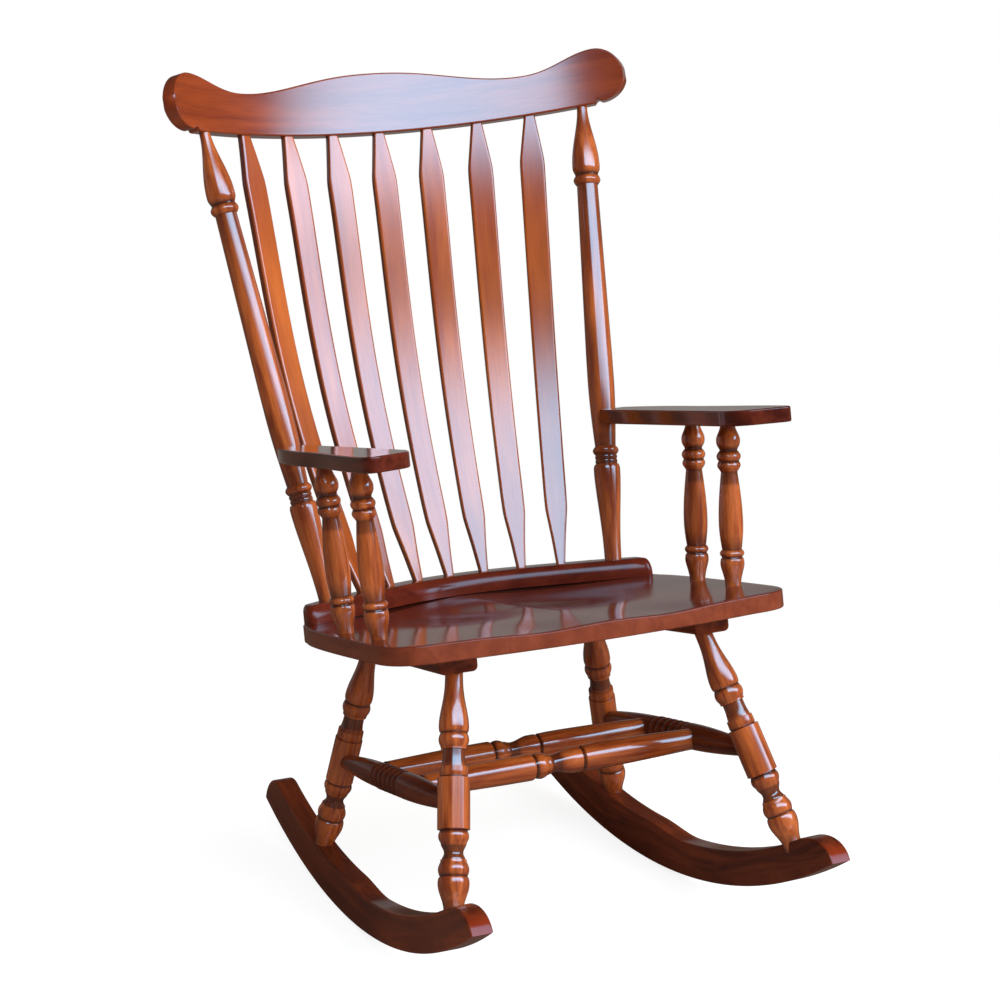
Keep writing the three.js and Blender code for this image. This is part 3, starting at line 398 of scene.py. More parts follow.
def form_at(form, t, start, end, extra):
    """One step of a turned form, from 0 to 1 along it."""
    if form == "swell":
        return start + (end - start) * (1 - math.cos(math.pi * t ** extra)) / 2
    if form == "drop":
        return end + (start - end) * math.sqrt(1 - t * t)
    if form == "rise":
        return start + (end - start) * math.sqrt(1 - (1 - t) ** 2)
    if form == "bow":
        return start + (end - start) * math.sin(math.pi * t / 2)
    if form == "fall":
        return end + (start - end) * math.cos(math.pi * t / 2)
    base = start + (end - start) * t
    if form == "bead":
        return base + (extra - max(start, end)) * math.sin(math.pi * t)
    return base


def turned_profile(shares, first, length, diameter):
    """Places along the axis and the radius at each."""
    total = sum(row[1] for row in shares)
    at = 0
    start = first
    places = [(0.0, first * diameter / 2)]
    for form, run, end, *extra in shares:
        steps = FORM_STEPS[form]
        for step in range(1, steps + 1):
            t = step / steps
            share = form_at(form, t, start, end, extra[0] if extra else 0)
            places.append(((at + run * t) / total * length, share * diameter / 2))
        at += run
        start = end
    return np.array(places)


def groove_depth(profile, reach, full):
    """0 on the crowns of a turning and 1 at the bottom of its grooves, as far as higher places lie within reach: the
    mask of the painted shade.
    """
    along, radius = profile[:, 0], profile[:, 1]
    depths = []
    for place, r in zip(along, radius):
        before = radius[(along < place) & (along > place - reach)].max(initial=r)
        after = radius[(along > place) & (along < place + reach)].max(initial=r)
        depths.append(min(before, after) - r + STEP_PAINTED_SHADE * abs(before - after))
    return smooth(PAINTED_SHADE_START, full, np.array(depths))


def turned(name, shares, first, start, end, diameter, bury, material):
    """A turned piece from one point to another, sunk into what holds it at either end."""
    length = np.linalg.norm(end - start)
    profile = turned_profile(shares, first, length, diameter)
    profile = np.vstack([[-bury[0], profile[0, 1]], profile, [length + bury[1], profile[-1, 1]]])
    # Painted shade: darker in grooves, hollows and at steps of the profile; the ends sunk into their holes take the
    # full dark colour.
    stain_and_painted_light = np.maximum(groove_depth(profile, *GROOVE), HOLLOW_PAINTED_SHADE * groove_depth(profile, *HOLLOW))
    stain_and_painted_light[0] = stain_and_painted_light[-1] = 1
    angle = 2 * math.pi * np.arange(SPOKES) / SPOKES
    axes = frame_along(start, end)
    local = []
    for along, radius in profile:
        ring = np.stack([radius * np.cos(angle), np.full(SPOKES, along), radius * np.sin(angle)], axis=1)
        local.append(ring)
    local = np.concatenate(local)
    points = local @ axes.T + start
    grain = local[:, [1, 0, 2]]
    faces = ring_faces(len(profile), SPOKES)
    add_piece(name, points, faces, material, [name], grain, np.repeat(stain_and_painted_light, SPOKES))


def board_rings(outline, thickness, edge, trim=0.0):
    """Rings of a board with rounded edges: (inset, height) pairs from its lower face to its upper one."""
    arc = quarter_turn()
    low = [(edge * (1 - math.sin(a)), edge * (1 - math.cos(a))) for a in arc]
    high = [(edge * (1 - math.cos(a)), thickness - edge * (1 - math.sin(a))) for a in arc]
    inner = edge + FLAT_START
    sides = [(0, inner), (0, thickness - inner)]
    steps = [(inner, 0)] + low + sides + high + [(inner, thickness)]
    before = outline - np.roll(outline, 1, axis=0)
    after = np.roll(outline, -1, axis=0) - outline
    normals = []
    for a, b in zip(map(unit, before), map(unit, after)):
        bisector = unit(vec(-a[1] - b[1], a[0] + b[0]))
        normals.append(bisector / max(MITRE_LIMIT, np.dot(bisector, vec(-a[1], a[0]))))
    normals = np.array(normals)
    area = np.sum(outline[:, 0] * np.roll(outline[:, 1], -1) - np.roll(outline[:, 0], -1) * outline[:, 1])
    if area < 0:
        normals = -normals
    rings = []
    for inset, height in steps:
        flat = outline + normals * (inset + trim)
        rings.append(np.column_stack([flat, np.full(len(flat), height)]))
    return np.concatenate(rings), len(steps)


def even_outline(points):
    """A closed outline with its long straight stretches cut into even steps."""
    result = []
    for a, b in zip(points, np.roll(points, -1, axis=0)):
        pieces = max(1, int(np.linalg.norm(b - a) / OUTLINE_STEP))
        for i in range(pieces):
            result.append(a + (b - a) * i / pieces)
    return np.array(result)


# Materials, with the wood's patterns laid out in metres

FIBRE_SCALES = (25, 900, 900)
BLOTCH_SCALES = (6, 14, 14)
RIPPLE_SCALES = (18, 70, 70)
WEAR_SCALES = (700, 700, 700)
STREAKS = [(0.34, (0.62, 0.55, 0.5)), (0.52, (1, 1, 1))]
PATCHES = [(0.35, (0.72, 0.66, 0.62)), (0.65, (1.16, 1.16, 1.12))]
FIGURE_BAND = (0.36, 0.64)
STAIN_AND_PAINTED_SHADE_COVER = 0.9
WEAR_BAND = (0.35, 0.65)
PLANK_SHIFT_ALONG = 0.73
PLANK_SHIFT_THROUGH = 0.31
WOOD_GLOSS_SPREAD = 0.08
METAL_GLOSS = 0.3
METAL_GLOSS_SPREAD = 0.2
SPECULAR_TINT = (0.1, 0.7, 1.0, 1)
# Painted light: the lighter colour that negative marks turn the wood towards, used on the rockers' noses
PAINTED_LIGHT_COLOUR = (0.24, 0.026, 0.006)

# Bumps: strength, and height in metres
FIBRE_BUMP = (0.12, 0.0004)
SKIN_BUMP = (0.1, 0.0006)
WEAR_BUMP = (0.2, 0.0001)


def node(tree, kind, **settings):
    made = tree.nodes.new(kind)
    for key, value in settings.items():
        setattr(made, key, value)
    return made


def link(tree, source, target):
    tree.links.new(source, target)


def math_node(tree, operation, a, b=None, clamp=False):
    made = node(tree, "ShaderNodeMath", operation=operation, use_clamp=clamp)
    for socket, value in zip(made.inputs, (a, b)):
        if value is None:
            continue
        if isinstance(value, (int, float)):
            socket.default_value = value
        else:
            link(tree, value, socket)
    return made.outputs[0]


def split(tree, vector):
    parts = node(tree, "ShaderNodeSeparateXYZ")
    link(tree, vector, parts.inputs[0])
    return parts.outputs


def stretched_noise(tree, coordinates, stretch, detail, distortion=0.0):
    """Noise drawn out by the (along, across, through) scales."""
    mapping = node(tree, "ShaderNodeMapping")
    mapping.inputs["Scale"].default_value = stretch
    link(tree, coordinates, mapping.inputs["Vector"])
    noise = node(tree, "ShaderNodeTexNoise")
    noise.inputs["Scale"].default_value = 1
    noise.inputs["Detail"].default_value = detail
    noise.inputs["Distortion"].default_value = distortion
    link(tree, mapping.outputs["Vector"], noise.inputs["Vector"])
    return noise.outputs["Fac"]


def new_material(name):
    material = bpy.data.materials.new(name)
    material.use_nodes = True
    return material, material.node_tree, material.node_tree.nodes["Principled BSDF"]


def ramp(tree, source, stops):
    made = node(tree, "ShaderNodeValToRGB")
    elements = made.color_ramp.elements
    while len(elements) < len(stops):
        elements.new(0.5)
    for element, (place, colour) in zip(elements, stops):
        element.position = place
        element.color = colour if len(colour) == 4 else (*colour, 1)
    link(tree, source, made.inputs["Fac"])
    return made.outputs["Color"]


def mix_colour(tree, factor, a, b, blend="MIX"):
    made = node(tree, "ShaderNodeMix", data_type="RGBA", blend_type=blend)
    for socket, value in ((made.inputs[0], factor), (made.inputs[6], a), (made.inputs[7], b)):
        if isinstance(value, (int, float)):
            socket.default_value = value
        elif isinstance(value, tuple):
            socket.default_value = (*value, 1)
        else:
            link(tree, value, socket)
    return made.outputs[2]


def bumped(tree, height, bump, target):
    made = node(tree, "ShaderNodeBump")
    made.inputs["Strength"].default_value, made.inputs["Distance"].default_value = bump
    link(tree, height, made.inputs["Height"])
    link(tree, made.outputs["Normal"], target)


def varied_gloss(tree, shader, noise, gloss, spread):
    rough = math_node(tree, "ADD", math_node(tree, "MULTIPLY", noise, spread), gloss - spread / 2)
    link(tree, rough, shader.inputs["Roughness"])


def cut_in_planks(tree, grain, width):
    """The grain's place, moved along and through the wood from each plank to the next."""
    x, y, z = split(tree, grain)
    plank = math_node(tree, "FLOOR", math_node(tree, "DIVIDE", y, width))
    along = math_node(tree, "MULTIPLY", plank, PLANK_SHIFT_ALONG)
    through = math_node(tree, "MULTIPLY", plank, PLANK_SHIFT_THROUGH)
    joined = node(tree, "ShaderNodeCombineXYZ")
    link(tree, math_node(tree, "ADD", x, along), joined.inputs[0])
    link(tree, y, joined.inputs[1])
    link(tree, math_node(tree, "ADD", z, through), joined.inputs[2])
    return joined.outputs[0]


def lacquered(name, light, dark, stain_and_painted_light, figure=(5, 55, 55), gloss=0.14, coat=1.0, coat_gloss=0.07, coat_ior=1.85,
              specular=1.0, patchy=0.7, fibre=0.55, planks=0.0):
    """Stained wood under clear lacquer, its colours in linear light. The third colour is that of real stain and of
    painted shade; painted light turns the wood towards a fixed lighter colour.
    """
    material, tree, shader = new_material(name)
    grain = node(tree, "ShaderNodeAttribute", attribute_name="grain").outputs["Vector"]
    if planks:
        grain = cut_in_planks(tree, grain, planks)
    stain_and_painted_light_value = node(tree, "ShaderNodeAttribute", attribute_name="stain_and_painted_light").outputs["Fac"]
    broad = stretched_noise(tree, grain, figure, detail=5, distortion=0.6)
    fibres = stretched_noise(tree, grain, FIBRE_SCALES, detail=3)
    blotches = stretched_noise(tree, grain, BLOTCH_SCALES, detail=2)
    ripple = stretched_noise(tree, grain, RIPPLE_SCALES, detail=2)
    body = ramp(tree, broad, [*zip(FIGURE_BAND, (dark, light))])
    body = mix_colour(tree, fibre, body, ramp(tree, fibres, STREAKS), "MULTIPLY")
    body = mix_colour(tree, patchy, body, ramp(tree, blotches, PATCHES), "MULTIPLY")
    # Positive values darken towards the third colour: real stain at joints and plug rims, painted shade in turnings,
    # on the seat top and on slat sides. Negative values are painted light on the rockers' noses.
    body = mix_colour(tree, math_node(tree, "MULTIPLY", stain_and_painted_light_value, STAIN_AND_PAINTED_SHADE_COVER, clamp=True), body, stain_and_painted_light)
    body = mix_colour(tree, math_node(tree, "MULTIPLY", stain_and_painted_light_value, -1.0, clamp=True), body, PAINTED_LIGHT_COLOUR)
    link(tree, body, shader.inputs["Base Color"])
    varied_gloss(tree, shader, blotches, gloss, WOOD_GLOSS_SPREAD)
    bumped(tree, fibres, FIBRE_BUMP, shader.inputs["Normal"])
    bumped(tree, ripple, SKIN_BUMP, shader.inputs["Coat Normal"])
    shader.inputs["Coat Weight"].default_value = coat
    shader.inputs["Coat Roughness"].default_value = coat_gloss
    shader.inputs["Coat IOR"].default_value = coat_ior
    shader.inputs["Specular IOR Level"].default_value = specular
    shader.inputs["Specular Tint"].default_value = SPECULAR_TINT
    return material


def metal(name, bright, dull):
    """Screw metal. CAD solids carry no grain attribute, so on them the wear is read at one place and looks even."""
    material, tree, shader = new_material(name)
    grain = node(tree, "ShaderNodeAttribute", attribute_name="grain").outputs["Vector"]
    wear = stretched_noise(tree, grain, WEAR_SCALES, detail=4)
    link(tree, ramp(tree, wear, [*zip(WEAR_BAND, (dull, bright))]), shader.inputs["Base Color"])
    varied_gloss(tree, shader, wear, METAL_GLOSS, METAL_GLOSS_SPREAD)
    bumped(tree, wear, WEAR_BUMP, shader.inputs["Normal"])
    shader.inputs["Metallic"].default_value = 1
    return material


TURNED_WOOD = lacquered(
    "turned_cherry", (0.62, 0.15, 0.032), (0.28, 0.05, 0.011), (0.045, 0.008, 0.004), figure=(7, 90, 90), patchy=0.9,
)
FLAT_WOOD = lacquered(
    "spindle_cherry", (0.56, 0.125, 0.011), (0.38, 0.064, 0.006), (0.05, 0.008, 0.005), figure=(3, 30, 30),
    coat_gloss=0.12, specular=0.85, fibre=0.35,
)
CREST_WOOD = lacquered(
    "crest_cherry", (0.36, 0.056, 0.006), (0.24, 0.031, 0.004), (0.04, 0.01, 0.005), figure=(3, 40, 40), gloss=0.2,
    coat_gloss=0.17, coat_ior=2.0, patchy=0.4,
)
SEAT_WOOD = lacquered(
    "seat_cherry", (0.25, 0.055, 0.024), (0.19, 0.04, 0.018), (0.1, 0.013, 0.008), planks=0.155, coat=0.5,
    coat_ior=1.5, coat_gloss=0.1, specular=0.3, patchy=0.2,
)
RAIL_WOOD = lacquered(
    "rail_cherry", (0.16, 0.022, 0.009), (0.1, 0.013, 0.006), (0.03, 0.008, 0.005), coat=0.7, coat_ior=1.5,
    coat_gloss=0.12, specular=0.3, patchy=0.4,
)
# Painted shade: a darker copy of the cherry for the arms, whose seen sides lie in shade.
ARM_SHADED_WOOD = lacquered(
    "arm_shaded_cherry", (0.14, 0.022, 0.009), (0.07, 0.01, 0.005), (0.02, 0.005, 0.004), coat_ior=1.6,
    coat_gloss=0.1, specular=0.3, patchy=0.4,
)
# Painted shade: a darker copy of the cherry for the cleats, side stretchers and rockers, whose seen faces lie in
# shade.
SHADED_CHERRY_WOOD = lacquered(
    "dark_cherry", (0.22, 0.04, 0.011), (0.1, 0.018, 0.007), (0.03, 0.008, 0.005), coat=0.4, coat_ior=1.5,
    coat_gloss=0.15, specular=0.3, patchy=0.5,
)
PLUG_WOOD = lacquered(
    "plug_wood", (0.5, 0.2, 0.07), (0.36, 0.13, 0.045), (0.1, 0.03, 0.01), figure=(60, 300, 300), coat=0.4,
    coat_ior=1.5, specular=0.3,
)
STEEL = metal("screw_steel", (0.55, 0.53, 0.5), (0.3, 0.28, 0.26))
BRASS = metal("screw_brass", (0.72, 0.46, 0.18), (0.4, 0.24, 0.09))


# Seat

def seat_outline():
    side_x = SEAT_SIDE[0]
    corner_x, corner_y = SEAT_FRONT_CORNER
    rear_x, rear_y = SEAT_REAR_CORNER
    inset_x, inset_y = SEAT_REAR_INSET
    steps = SEAT_STEPS
    half = np.vstack([
        [(0, SEAT_FRONT_Y)],
        quadratic((0, SEAT_FRONT_Y), (corner_x / 2, SEAT_FRONT_Y), SEAT_FRONT_CORNER, steps["front"]),
        quadratic(SEAT_FRONT_CORNER, (side_x, corner_y), SEAT_SIDE, steps["corner"]),
        quadratic(SEAT_SIDE, (side_x, rear_y / 2), SEAT_REAR_CORNER, steps["side"]),
        quadratic(SEAT_REAR_CORNER, (rear_x, (rear_y + inset_y) / 2), SEAT_REAR_INSET, steps["rear_corner"]),
        quadratic(SEAT_REAR_INSET, (inset_x / 2, SEAT_REAR_Y), (0, SEAT_REAR_Y), steps["rear"]),
    ])
    mirrored = half[1:-1][::-1] * vec(-1, 1)
    return np.vstack([half, mirrored])


def saddle(x, y):
    """How far the saddle lies below the seat's flat top."""
    lobe = np.exp(-((np.abs(x) - SADDLE_LOBE[0]) / SADDLE_SPREAD[0]) ** 2)
    depth = np.exp(-((y - SADDLE_LOBE[1]) / SADDLE_SPREAD[1]) ** 2)
    lip = np.exp(-((np.abs(x) - SADDLE_LIP_X) / SADDLE_LIP_SPREAD) ** 2)
    front = np.exp(-((y - SEAT_FRONT_Y) / SADDLE_LIP_RUN) ** 2)
    return SADDLE_DEPTH * lobe * depth + SADDLE_LIP_DEPTH * lip * front


def build_seat():
    outline = seat_outline()
    centre = vec(0, (SEAT_FRONT_Y + SEAT_REAR_Y) / 2)
    arms = outline - centre
    reach = np.linalg.norm(arms, axis=1)[:, None]

    def ring(scale, inset, height, dished):
        flat = centre + arms * scale * (1 - inset / reach)
        drop = saddle(flat[:, 0], flat[:, 1]) * dished
        return np.column_stack([flat, height - drop])

    rings = [ring(i / SEAT_RINGS, SEAT_EDGE, 0, 1) for i in range(1, SEAT_RINGS)]
    arc = quarter_turn()
    for a in arc:
        rings.append(ring(1, SEAT_EDGE * (1 - math.sin(a)), -SEAT_EDGE * (1 - math.cos(a)), 1))
    for a in arc:
        rings.append(ring(1, SEAT_EDGE * (1 - math.cos(a)), SEAT_EDGE * (1 - math.sin(a)) - SEAT_THICKNESS, 0))
    rings.append(ring(SEAT_UNDERSIDE_SHARE, SEAT_EDGE, -SEAT_THICKNESS, 0))
    points = np.concatenate(rings)
    grain = points[:, [1, 0, 2]]
    level = points[:, 2] + saddle(points[:, 0], points[:, 1])
    # Painted shade darkens the seat's top face; its edges and underside keep the plain wood.
    stain_and_painted_light = SEAT_TOP_PAINTED_SHADE * smooth(-SEAT_EDGE, 0, level)
    add_piece("seat_board", points, ring_faces(len(rings), len(outline)), SEAT_WOOD, ["seat"], grain, stain_and_painted_light)


def build_rail():
    arc = quarter_turn(RAIL_ARC_STEPS)
    straight = RAIL_END_X - RAIL_END_ROUND
    ends = straight + RAIL_END_ROUND * np.sin(arc)
    rings = []
    for x in [*-ends[::-1], *np.linspace(-straight, straight, RAIL_CUTS + 1)[1:-1], *ends]:
        narrow = 1 - (abs(x) / RAIL_END_X) ** RAIL_END_POWER
        past = max(0, 1 - (RAIL_END_X - abs(x)) / RAIL_END_ROUND)
        roll = RAIL_END_ROUND * (1 - math.sqrt(max(0, 1 - past * past)))
        depth = RAIL_DEPTH * (RAIL_END_SHARE + (1 - RAIL_END_SHARE) * narrow) - 2 * roll
        height = RAIL_HEIGHT * (RAIL_END_RISE_SHARE + (1 - RAIL_END_RISE_SHARE) * narrow) - roll
        rise = min(RAIL_ROUND_HEIGHT, height - RAIL_FRONT_FOOT)
        run = min(RAIL_ROUND_DEPTH, depth / 2)
        back = min(RAIL_BACK_ROUND, depth / 4)
        section = [(0, 0)]
        section += [(run * (1 - math.cos(a)), height - rise * (1 - math.sin(a))) for a in arc]
        section += [(depth - back * (1 - math.sin(a)), height - back * (1 - math.cos(a))) for a in arc]
        section += [(depth, 0)]
        rings.append([(x, rail_front(x) + roll + y, z) for y, z in section])
    count = len(rings[0])
    points = np.array(rings).reshape(-1, 3)
    add_piece("rail_moulding", points, ring_faces(len(rings), count), RAIL_WOOD, ["seat_rail"])


def build_plugs():
    for side, x in (("left", -RAIL_PLUG_X), ("middle", 0), ("right", RAIL_PLUG_X)):
        y = rail_front(x) + (RAIL_MIDDLE_PLUG_INSET if x == 0 else RAIL_PLUG_INSET)
        angle = 2 * math.pi * np.arange(SPOKES) / SPOKES
        dome = [(share, PLUG_CROWN * rise) for share, rise in PLUG_DOME_SHARES]
        rings = []
        for share, height in ((1, -RAIL_PLUG_THICKNESS), (1, -PLUG_RIM), *dome):
            r = RAIL_PLUG_RADIUS * share
            z = np.full(SPOKES, RAIL_HEIGHT + height)
            rings.append(np.column_stack([x + r * np.cos(angle), y + r * np.sin(angle), z]))
        stain_and_painted_light = np.repeat(PLUG_STAIN, SPOKES).astype(float)
        name = f"rail_plug_{side}"
        points = np.concatenate(rings)
        faces = ring_faces(len(rings), SPOKES)
        add_piece(f"plug_{side}", points, faces, PLUG_WOOD, [name], points[:, [1, 0, 2]], stain_and_painted_light)


# Back

def crest_place(run, height, offset):
    """A place on the bent and raked crest: run along its middle, height up its face, offset to the back."""
    angle = run / CREST_BEND_RADIUS
    radius = CREST_BEND_RADIUS + offset
    back = radius * math.cos(angle) - CREST_BEND_RADIUS
    return vec(
        radius * math.sin(angle),
        CREST_CENTRE_Y + back * math.cos(CREST_RAKE) + height * math.sin(CREST_RAKE),
        CREST_CENTRE_Z - back * math.sin(CREST_RAKE) + height * math.cos(CREST_RAKE),
    )


def crest_top(run):
    r = abs(run)

    def wave(a, b, t):
        return (a + b) / 2 + (a - b) / 2 * math.cos(math.pi * t ** CREST_WAVE_LEAN)

    if r < CREST_DIP_RUN:
        return wave(CREST_HUMP, CREST_DIP, r / CREST_DIP_RUN)
    if r < CREST_EAR_RUN:
        return wave(CREST_DIP, CREST_EAR, (r - CREST_DIP_RUN) / (CREST_EAR_RUN - CREST_DIP_RUN))
    t = (r - CREST_EAR_RUN) / (CREST_HALF_RUN - CREST_EAR_RUN)
    return CREST_TIP + (CREST_EAR - CREST_TIP) * math.sqrt(max(0, 1 - t * t))


def crest_bottom(run):
    r = abs(run)
    notch_start = 2 * CREST_NOTCH_RUN - CREST_LOBE_RUN
    if r < notch_start:
        return -CREST_BOTTOM_DROP
    if r < CREST_LOBE_RUN:
        t = (r - notch_start) / (CREST_LOBE_RUN - notch_start)
        return CREST_BOTTOM_DROP * (t - 1) + CREST_NOTCH_DEPTH * math.sin(math.pi * t)
    t = (r - CREST_LOBE_RUN) / (CREST_HALF_RUN - CREST_LOBE_RUN)
    return CREST_TIP * (1 - math.sqrt(max(0, 1 - t * t)))


def crest_run(x):
    return math.asin(x / CREST_BEND_RADIUS) * CREST_BEND_RADIUS


def rounded_section(width, height, corner):
    """Points around a rectangle with rounded corners, centred."""
    r = min(corner, width / 2, height / 2)
    points = []
    for turn, (sx, sy) in enumerate(((1, 1), (-1, 1), (-1, -1), (1, -1))):
        x, y = sx * (width / 2 - r), sy * (height / 2 - r)
        flat_x, flat_y = sx * max(0, width / 2 - r - FLAT_START), sy * max(0, height / 2 - r - FLAT_START)
        beside = (x + sx * r, flat_y)
        above = (flat_x, y + sy * r)
        points.append(beside if turn % 2 == 0 else above)
        for a in quarter_turn():
            angle = turn * math.pi / 2 + a
            points.append((x + r * math.cos(angle), y + r * math.sin(angle)))
        points.append(above if turn % 2 == 0 else beside)
    return points


def build_crest():
    tip = CREST_HALF_RUN - CREST_TRIM[0]
    rings = []
    grain = []
    for i in range(CREST_CUTS + 1):
        share = 2 * i / CREST_CUTS - 1
        run = tip * (CREST_CROWDING * math.sin(math.pi / 2 * share) + (1 - CREST_CROWDING) * share)
        low = crest_bottom(run)
        high = crest_top(run) - CREST_TRIM[1]
        section = rounded_section(CREST_THICKNESS, high - low, CREST_EDGE)
        rings += [crest_place(run, (high + low) / 2 + h, offset) for offset, h in section]
        grain += [(run, h + (high + low) / 2, offset) for offset, h in section]
    faces = ring_faces(CREST_CUTS + 1, len(section))
    add_piece("crest_board", np.array(rings), faces, CREST_WOOD, ["crest_rail"], np.array(grain))


def build_back_posts():
    for name, side in SIDES:
        foot = vec(side * POST_BASE[0], POST_BASE[1], RAIL_HEIGHT)
        top = crest_place(side * crest_run(POST_TOP_X), -CREST_BOTTOM_DROP, 0)
        turned(f"back_post_{name}", BACK_POST_SHARES, POST_FIRST_SHARE, top, foot, POST_DIAMETER,
               (SEATING, POST_SINK), TURNED_WOOD)


def spindle_width(t):
    """Share of the full width, its corners eased."""
    places, shares = zip(*SPINDLE_WIDTH_SHARES)
    around = np.linspace(-SPINDLE_SHOULDER_REACH, SPINDLE_SHOULDER_REACH, SPINDLE_SHOULDER_SAMPLES)
    samples = np.clip(t + around, 0, 1)
    return float(np.mean(np.interp(samples, places, shares)))


def build_spindles():
    stops = np.linspace(0, 1, SPINDLE_CUTS + 1)
    face = SPINDLE_THICKNESS / 2
    for i in range(SPINDLE_COUNT):
        place = i - (SPINDLE_COUNT - 1) / 2
        base_x = place * SPINDLE_BASE_SPACING
        foot = vec(base_x, rail_front(base_x) + RAIL_SPINDLE_INSET, RAIL_HEIGHT)
        top_run = crest_run(place * SPINDLE_TOP_SPACING)
        top = crest_place(top_run, -CREST_BOTTOM_DROP, 0)
        along = unit(top - foot)
        facing = vec(math.sin(top_run / CREST_BEND_RADIUS), 1, 0)
        across = unit(np.cross(along, facing))
        back = np.cross(across, along)
        length = np.linalg.norm(top - foot)
        points = []
        grain = []
        for t in stops:
            y = -SEATING + (length + 2 * SEATING) * t
            bow = SPINDLE_BOW * math.sin(math.pi * t) * (1 - SPINDLE_BOW_EASE * t ** SPINDLE_BOW_EASE_POWER)
            for x, z in rounded_section(SPINDLE_WIDTH * spindle_width(t), SPINDLE_THICKNESS, SPINDLE_EDGE):
                points.append(foot + across * x + along * y + back * (z + bow))
                grain.append((y, x, z))
        count = len(points) // len(stops)
        name = f"spindle_{i + 1}"
        grain = np.array(grain)
        # Painted shade darkens the slats' narrow sides.
        side = SPINDLE_SIDE_PAINTED_SHADE * (1 - smooth(face - SPINDLE_EDGE, face, abs(grain[:, 2])))
        faces = ring_faces(len(stops), count)
        add_piece(f"slat_{i + 1}", np.array(points), faces, FLAT_WOOD, [name], grain, side)


# Arms

def arm_outline():
    shoulder = vec(ARM_INNER_X, ARM_INNER_SHOULDER_Y)
    outer = vec(ARM_FRONT_OUTER_X, ARM_SHOULDER_Y)
    inner_corner = vec(ARM_INNER_X, ARM_FRONT_INNER_Y)
    outer_corner = vec(ARM_FRONT_OUTER_X, ARM_FRONT_OUTER_Y)
    front_start, front_end = (inner_corner + (outer_corner - inner_corner) * s for s in ARM_FRONT_STRAIGHT_SHARES)
    waist = (ARM_WAIST_X, ARM_WAIST_Y)
    steps = ARM_STEPS
    return np.vstack([
        [(ARM_INNER_X, ARM_REAR_Y), shoulder],
        quadratic(shoulder, inner_corner, front_start, steps["corner"]),
        [front_end],
        quadratic(front_end, outer_corner, outer, steps["corner"]),
        cubic(outer, (ARM_FRONT_OUTER_X, ARM_HIP_Y), (ARM_WAIST_X, ARM_FLARE_Y), waist, steps["flank"]),
        quadratic(waist, (ARM_WAIST_X, ARM_REAR_BEND_Y), (ARM_REAR_OUTER_X, ARM_REAR_Y), steps["rear"]),
    ])


def build_arms():
    for name, side in SIDES:
        outline = even_outline(arm_outline()) * vec(side, 1)
        points, rings = board_rings(outline, ARM_THICKNESS, ARM_EDGE)
        points = points + vec(0, 0, ARM_UNDERSIDE_Z)
        faces = ring_faces(rings, len(outline))
        add_piece(f"arm_board_{name}", points, faces, ARM_SHADED_WOOD, [f"arm_{name}"], points[:, [1, 0, 2]])
        for end, (top, foot) in ARM_POSTS.items():
            start = vec(side * top[0], top[1], ARM_UNDERSIDE_Z)
            stop = vec(side * foot[0], foot[1], 0)
            turned(f"arm_post_{end}_{name}", ARM_POST_SHARES, ARM_POST_FIRST_SHARE, start, stop, ARM_POST_DIAMETER,
                   (SEATING, ARM_POST_SINK), TURNED_WOOD)


# Cleats, legs and stretchers

CLEAT_UNDERSIDE_Z = -SEAT_THICKNESS - CLEAT_GAP - CLEAT_HEIGHT


def cleat_section(inset):
    """Across and up: the lower edges well rounded, the upper ones only broken."""
    w = CLEAT_WIDTH / 2 - inset
    bottom = inset
    top = CLEAT_HEIGHT - inset
    arc = quarter_turn()
    points = []
    for turn, (x, z, r) in enumerate((
        (w, top, CLEAT_TOP_EDGE), (-w, top, CLEAT_TOP_EDGE), (-w, bottom, CLEAT_EDGE), (w, bottom, CLEAT_EDGE),
    )):
        centre = (x - math.copysign(r, x), z - r if z > CLEAT_HEIGHT / 2 else z + r)
        for a in arc + turn * math.pi / 2:
            points.append((centre[0] + r * math.cos(a), centre[1] + r * math.sin(a)))
    return points


def build_cleats():
    for name, side in SIDES:
        start = vec(side * CLEAT_FRONT[0], CLEAT_FRONT[1])
        run = vec(side * CLEAT_REAR[0], CLEAT_REAR[1]) - start
        length = np.linalg.norm(run)
        along = run / length
        across = vec(along[1], -along[0])
        ease = CLEAT_END_EDGE * (1 - np.cos(quarter_turn()))[::-1]
        places = CLEAT_END_EDGE - np.sqrt(CLEAT_END_EDGE ** 2 - (CLEAT_END_EDGE - ease) ** 2)
        stops = [*zip(places, ease), *((length - p, e) for p, e in zip(places[::-1], ease[::-1]))]
        points = []
        for place, inset in stops:
            for x, z in cleat_section(inset):
                flat = start + across * x + along * place
                points.append((*flat, CLEAT_UNDERSIDE_Z + z))
        points = np.array(points)
        faces = ring_faces(len(stops), len(points) // len(stops))
        add_piece(f"cleat_{name}", points, faces, SHADED_CHERRY_WOOD, [f"leg_cleat_{name}"], points[:, [1, 0, 2]])


def leg_ends(end, side):
    (top_x, top_y), (foot_x, foot_y) = LEGS[end]
    start = vec(side * top_x, top_y, CLEAT_UNDERSIDE_Z)
    return start, vec(side * foot_x, foot_y, rocker_top(foot_y) - LEG_FOOT_SINK)


def build_legs():
    for end in LEGS:
        for name, side in SIDES:
            start, stop = leg_ends(end, side)
            turned(f"leg_{end}_{name}", leg_shares(BARREL_SHARES[end]), LEG_FIRST_SHARE, start, stop, LEG_DIAMETER,
                   (SEATING, LEG_SINK), TURNED_WOOD)


def leg_point(end, side):
    start, stop = leg_ends(end, side)
    return start + unit(stop - start) * STRETCHER_DROP


def side_ends(side):
    front = leg_point("front", side)
    rear = leg_point("rear", side)
    entry = LEG_DIAMETER / 2
    return beyond(front, rear, -entry), beyond(rear, front, -entry)


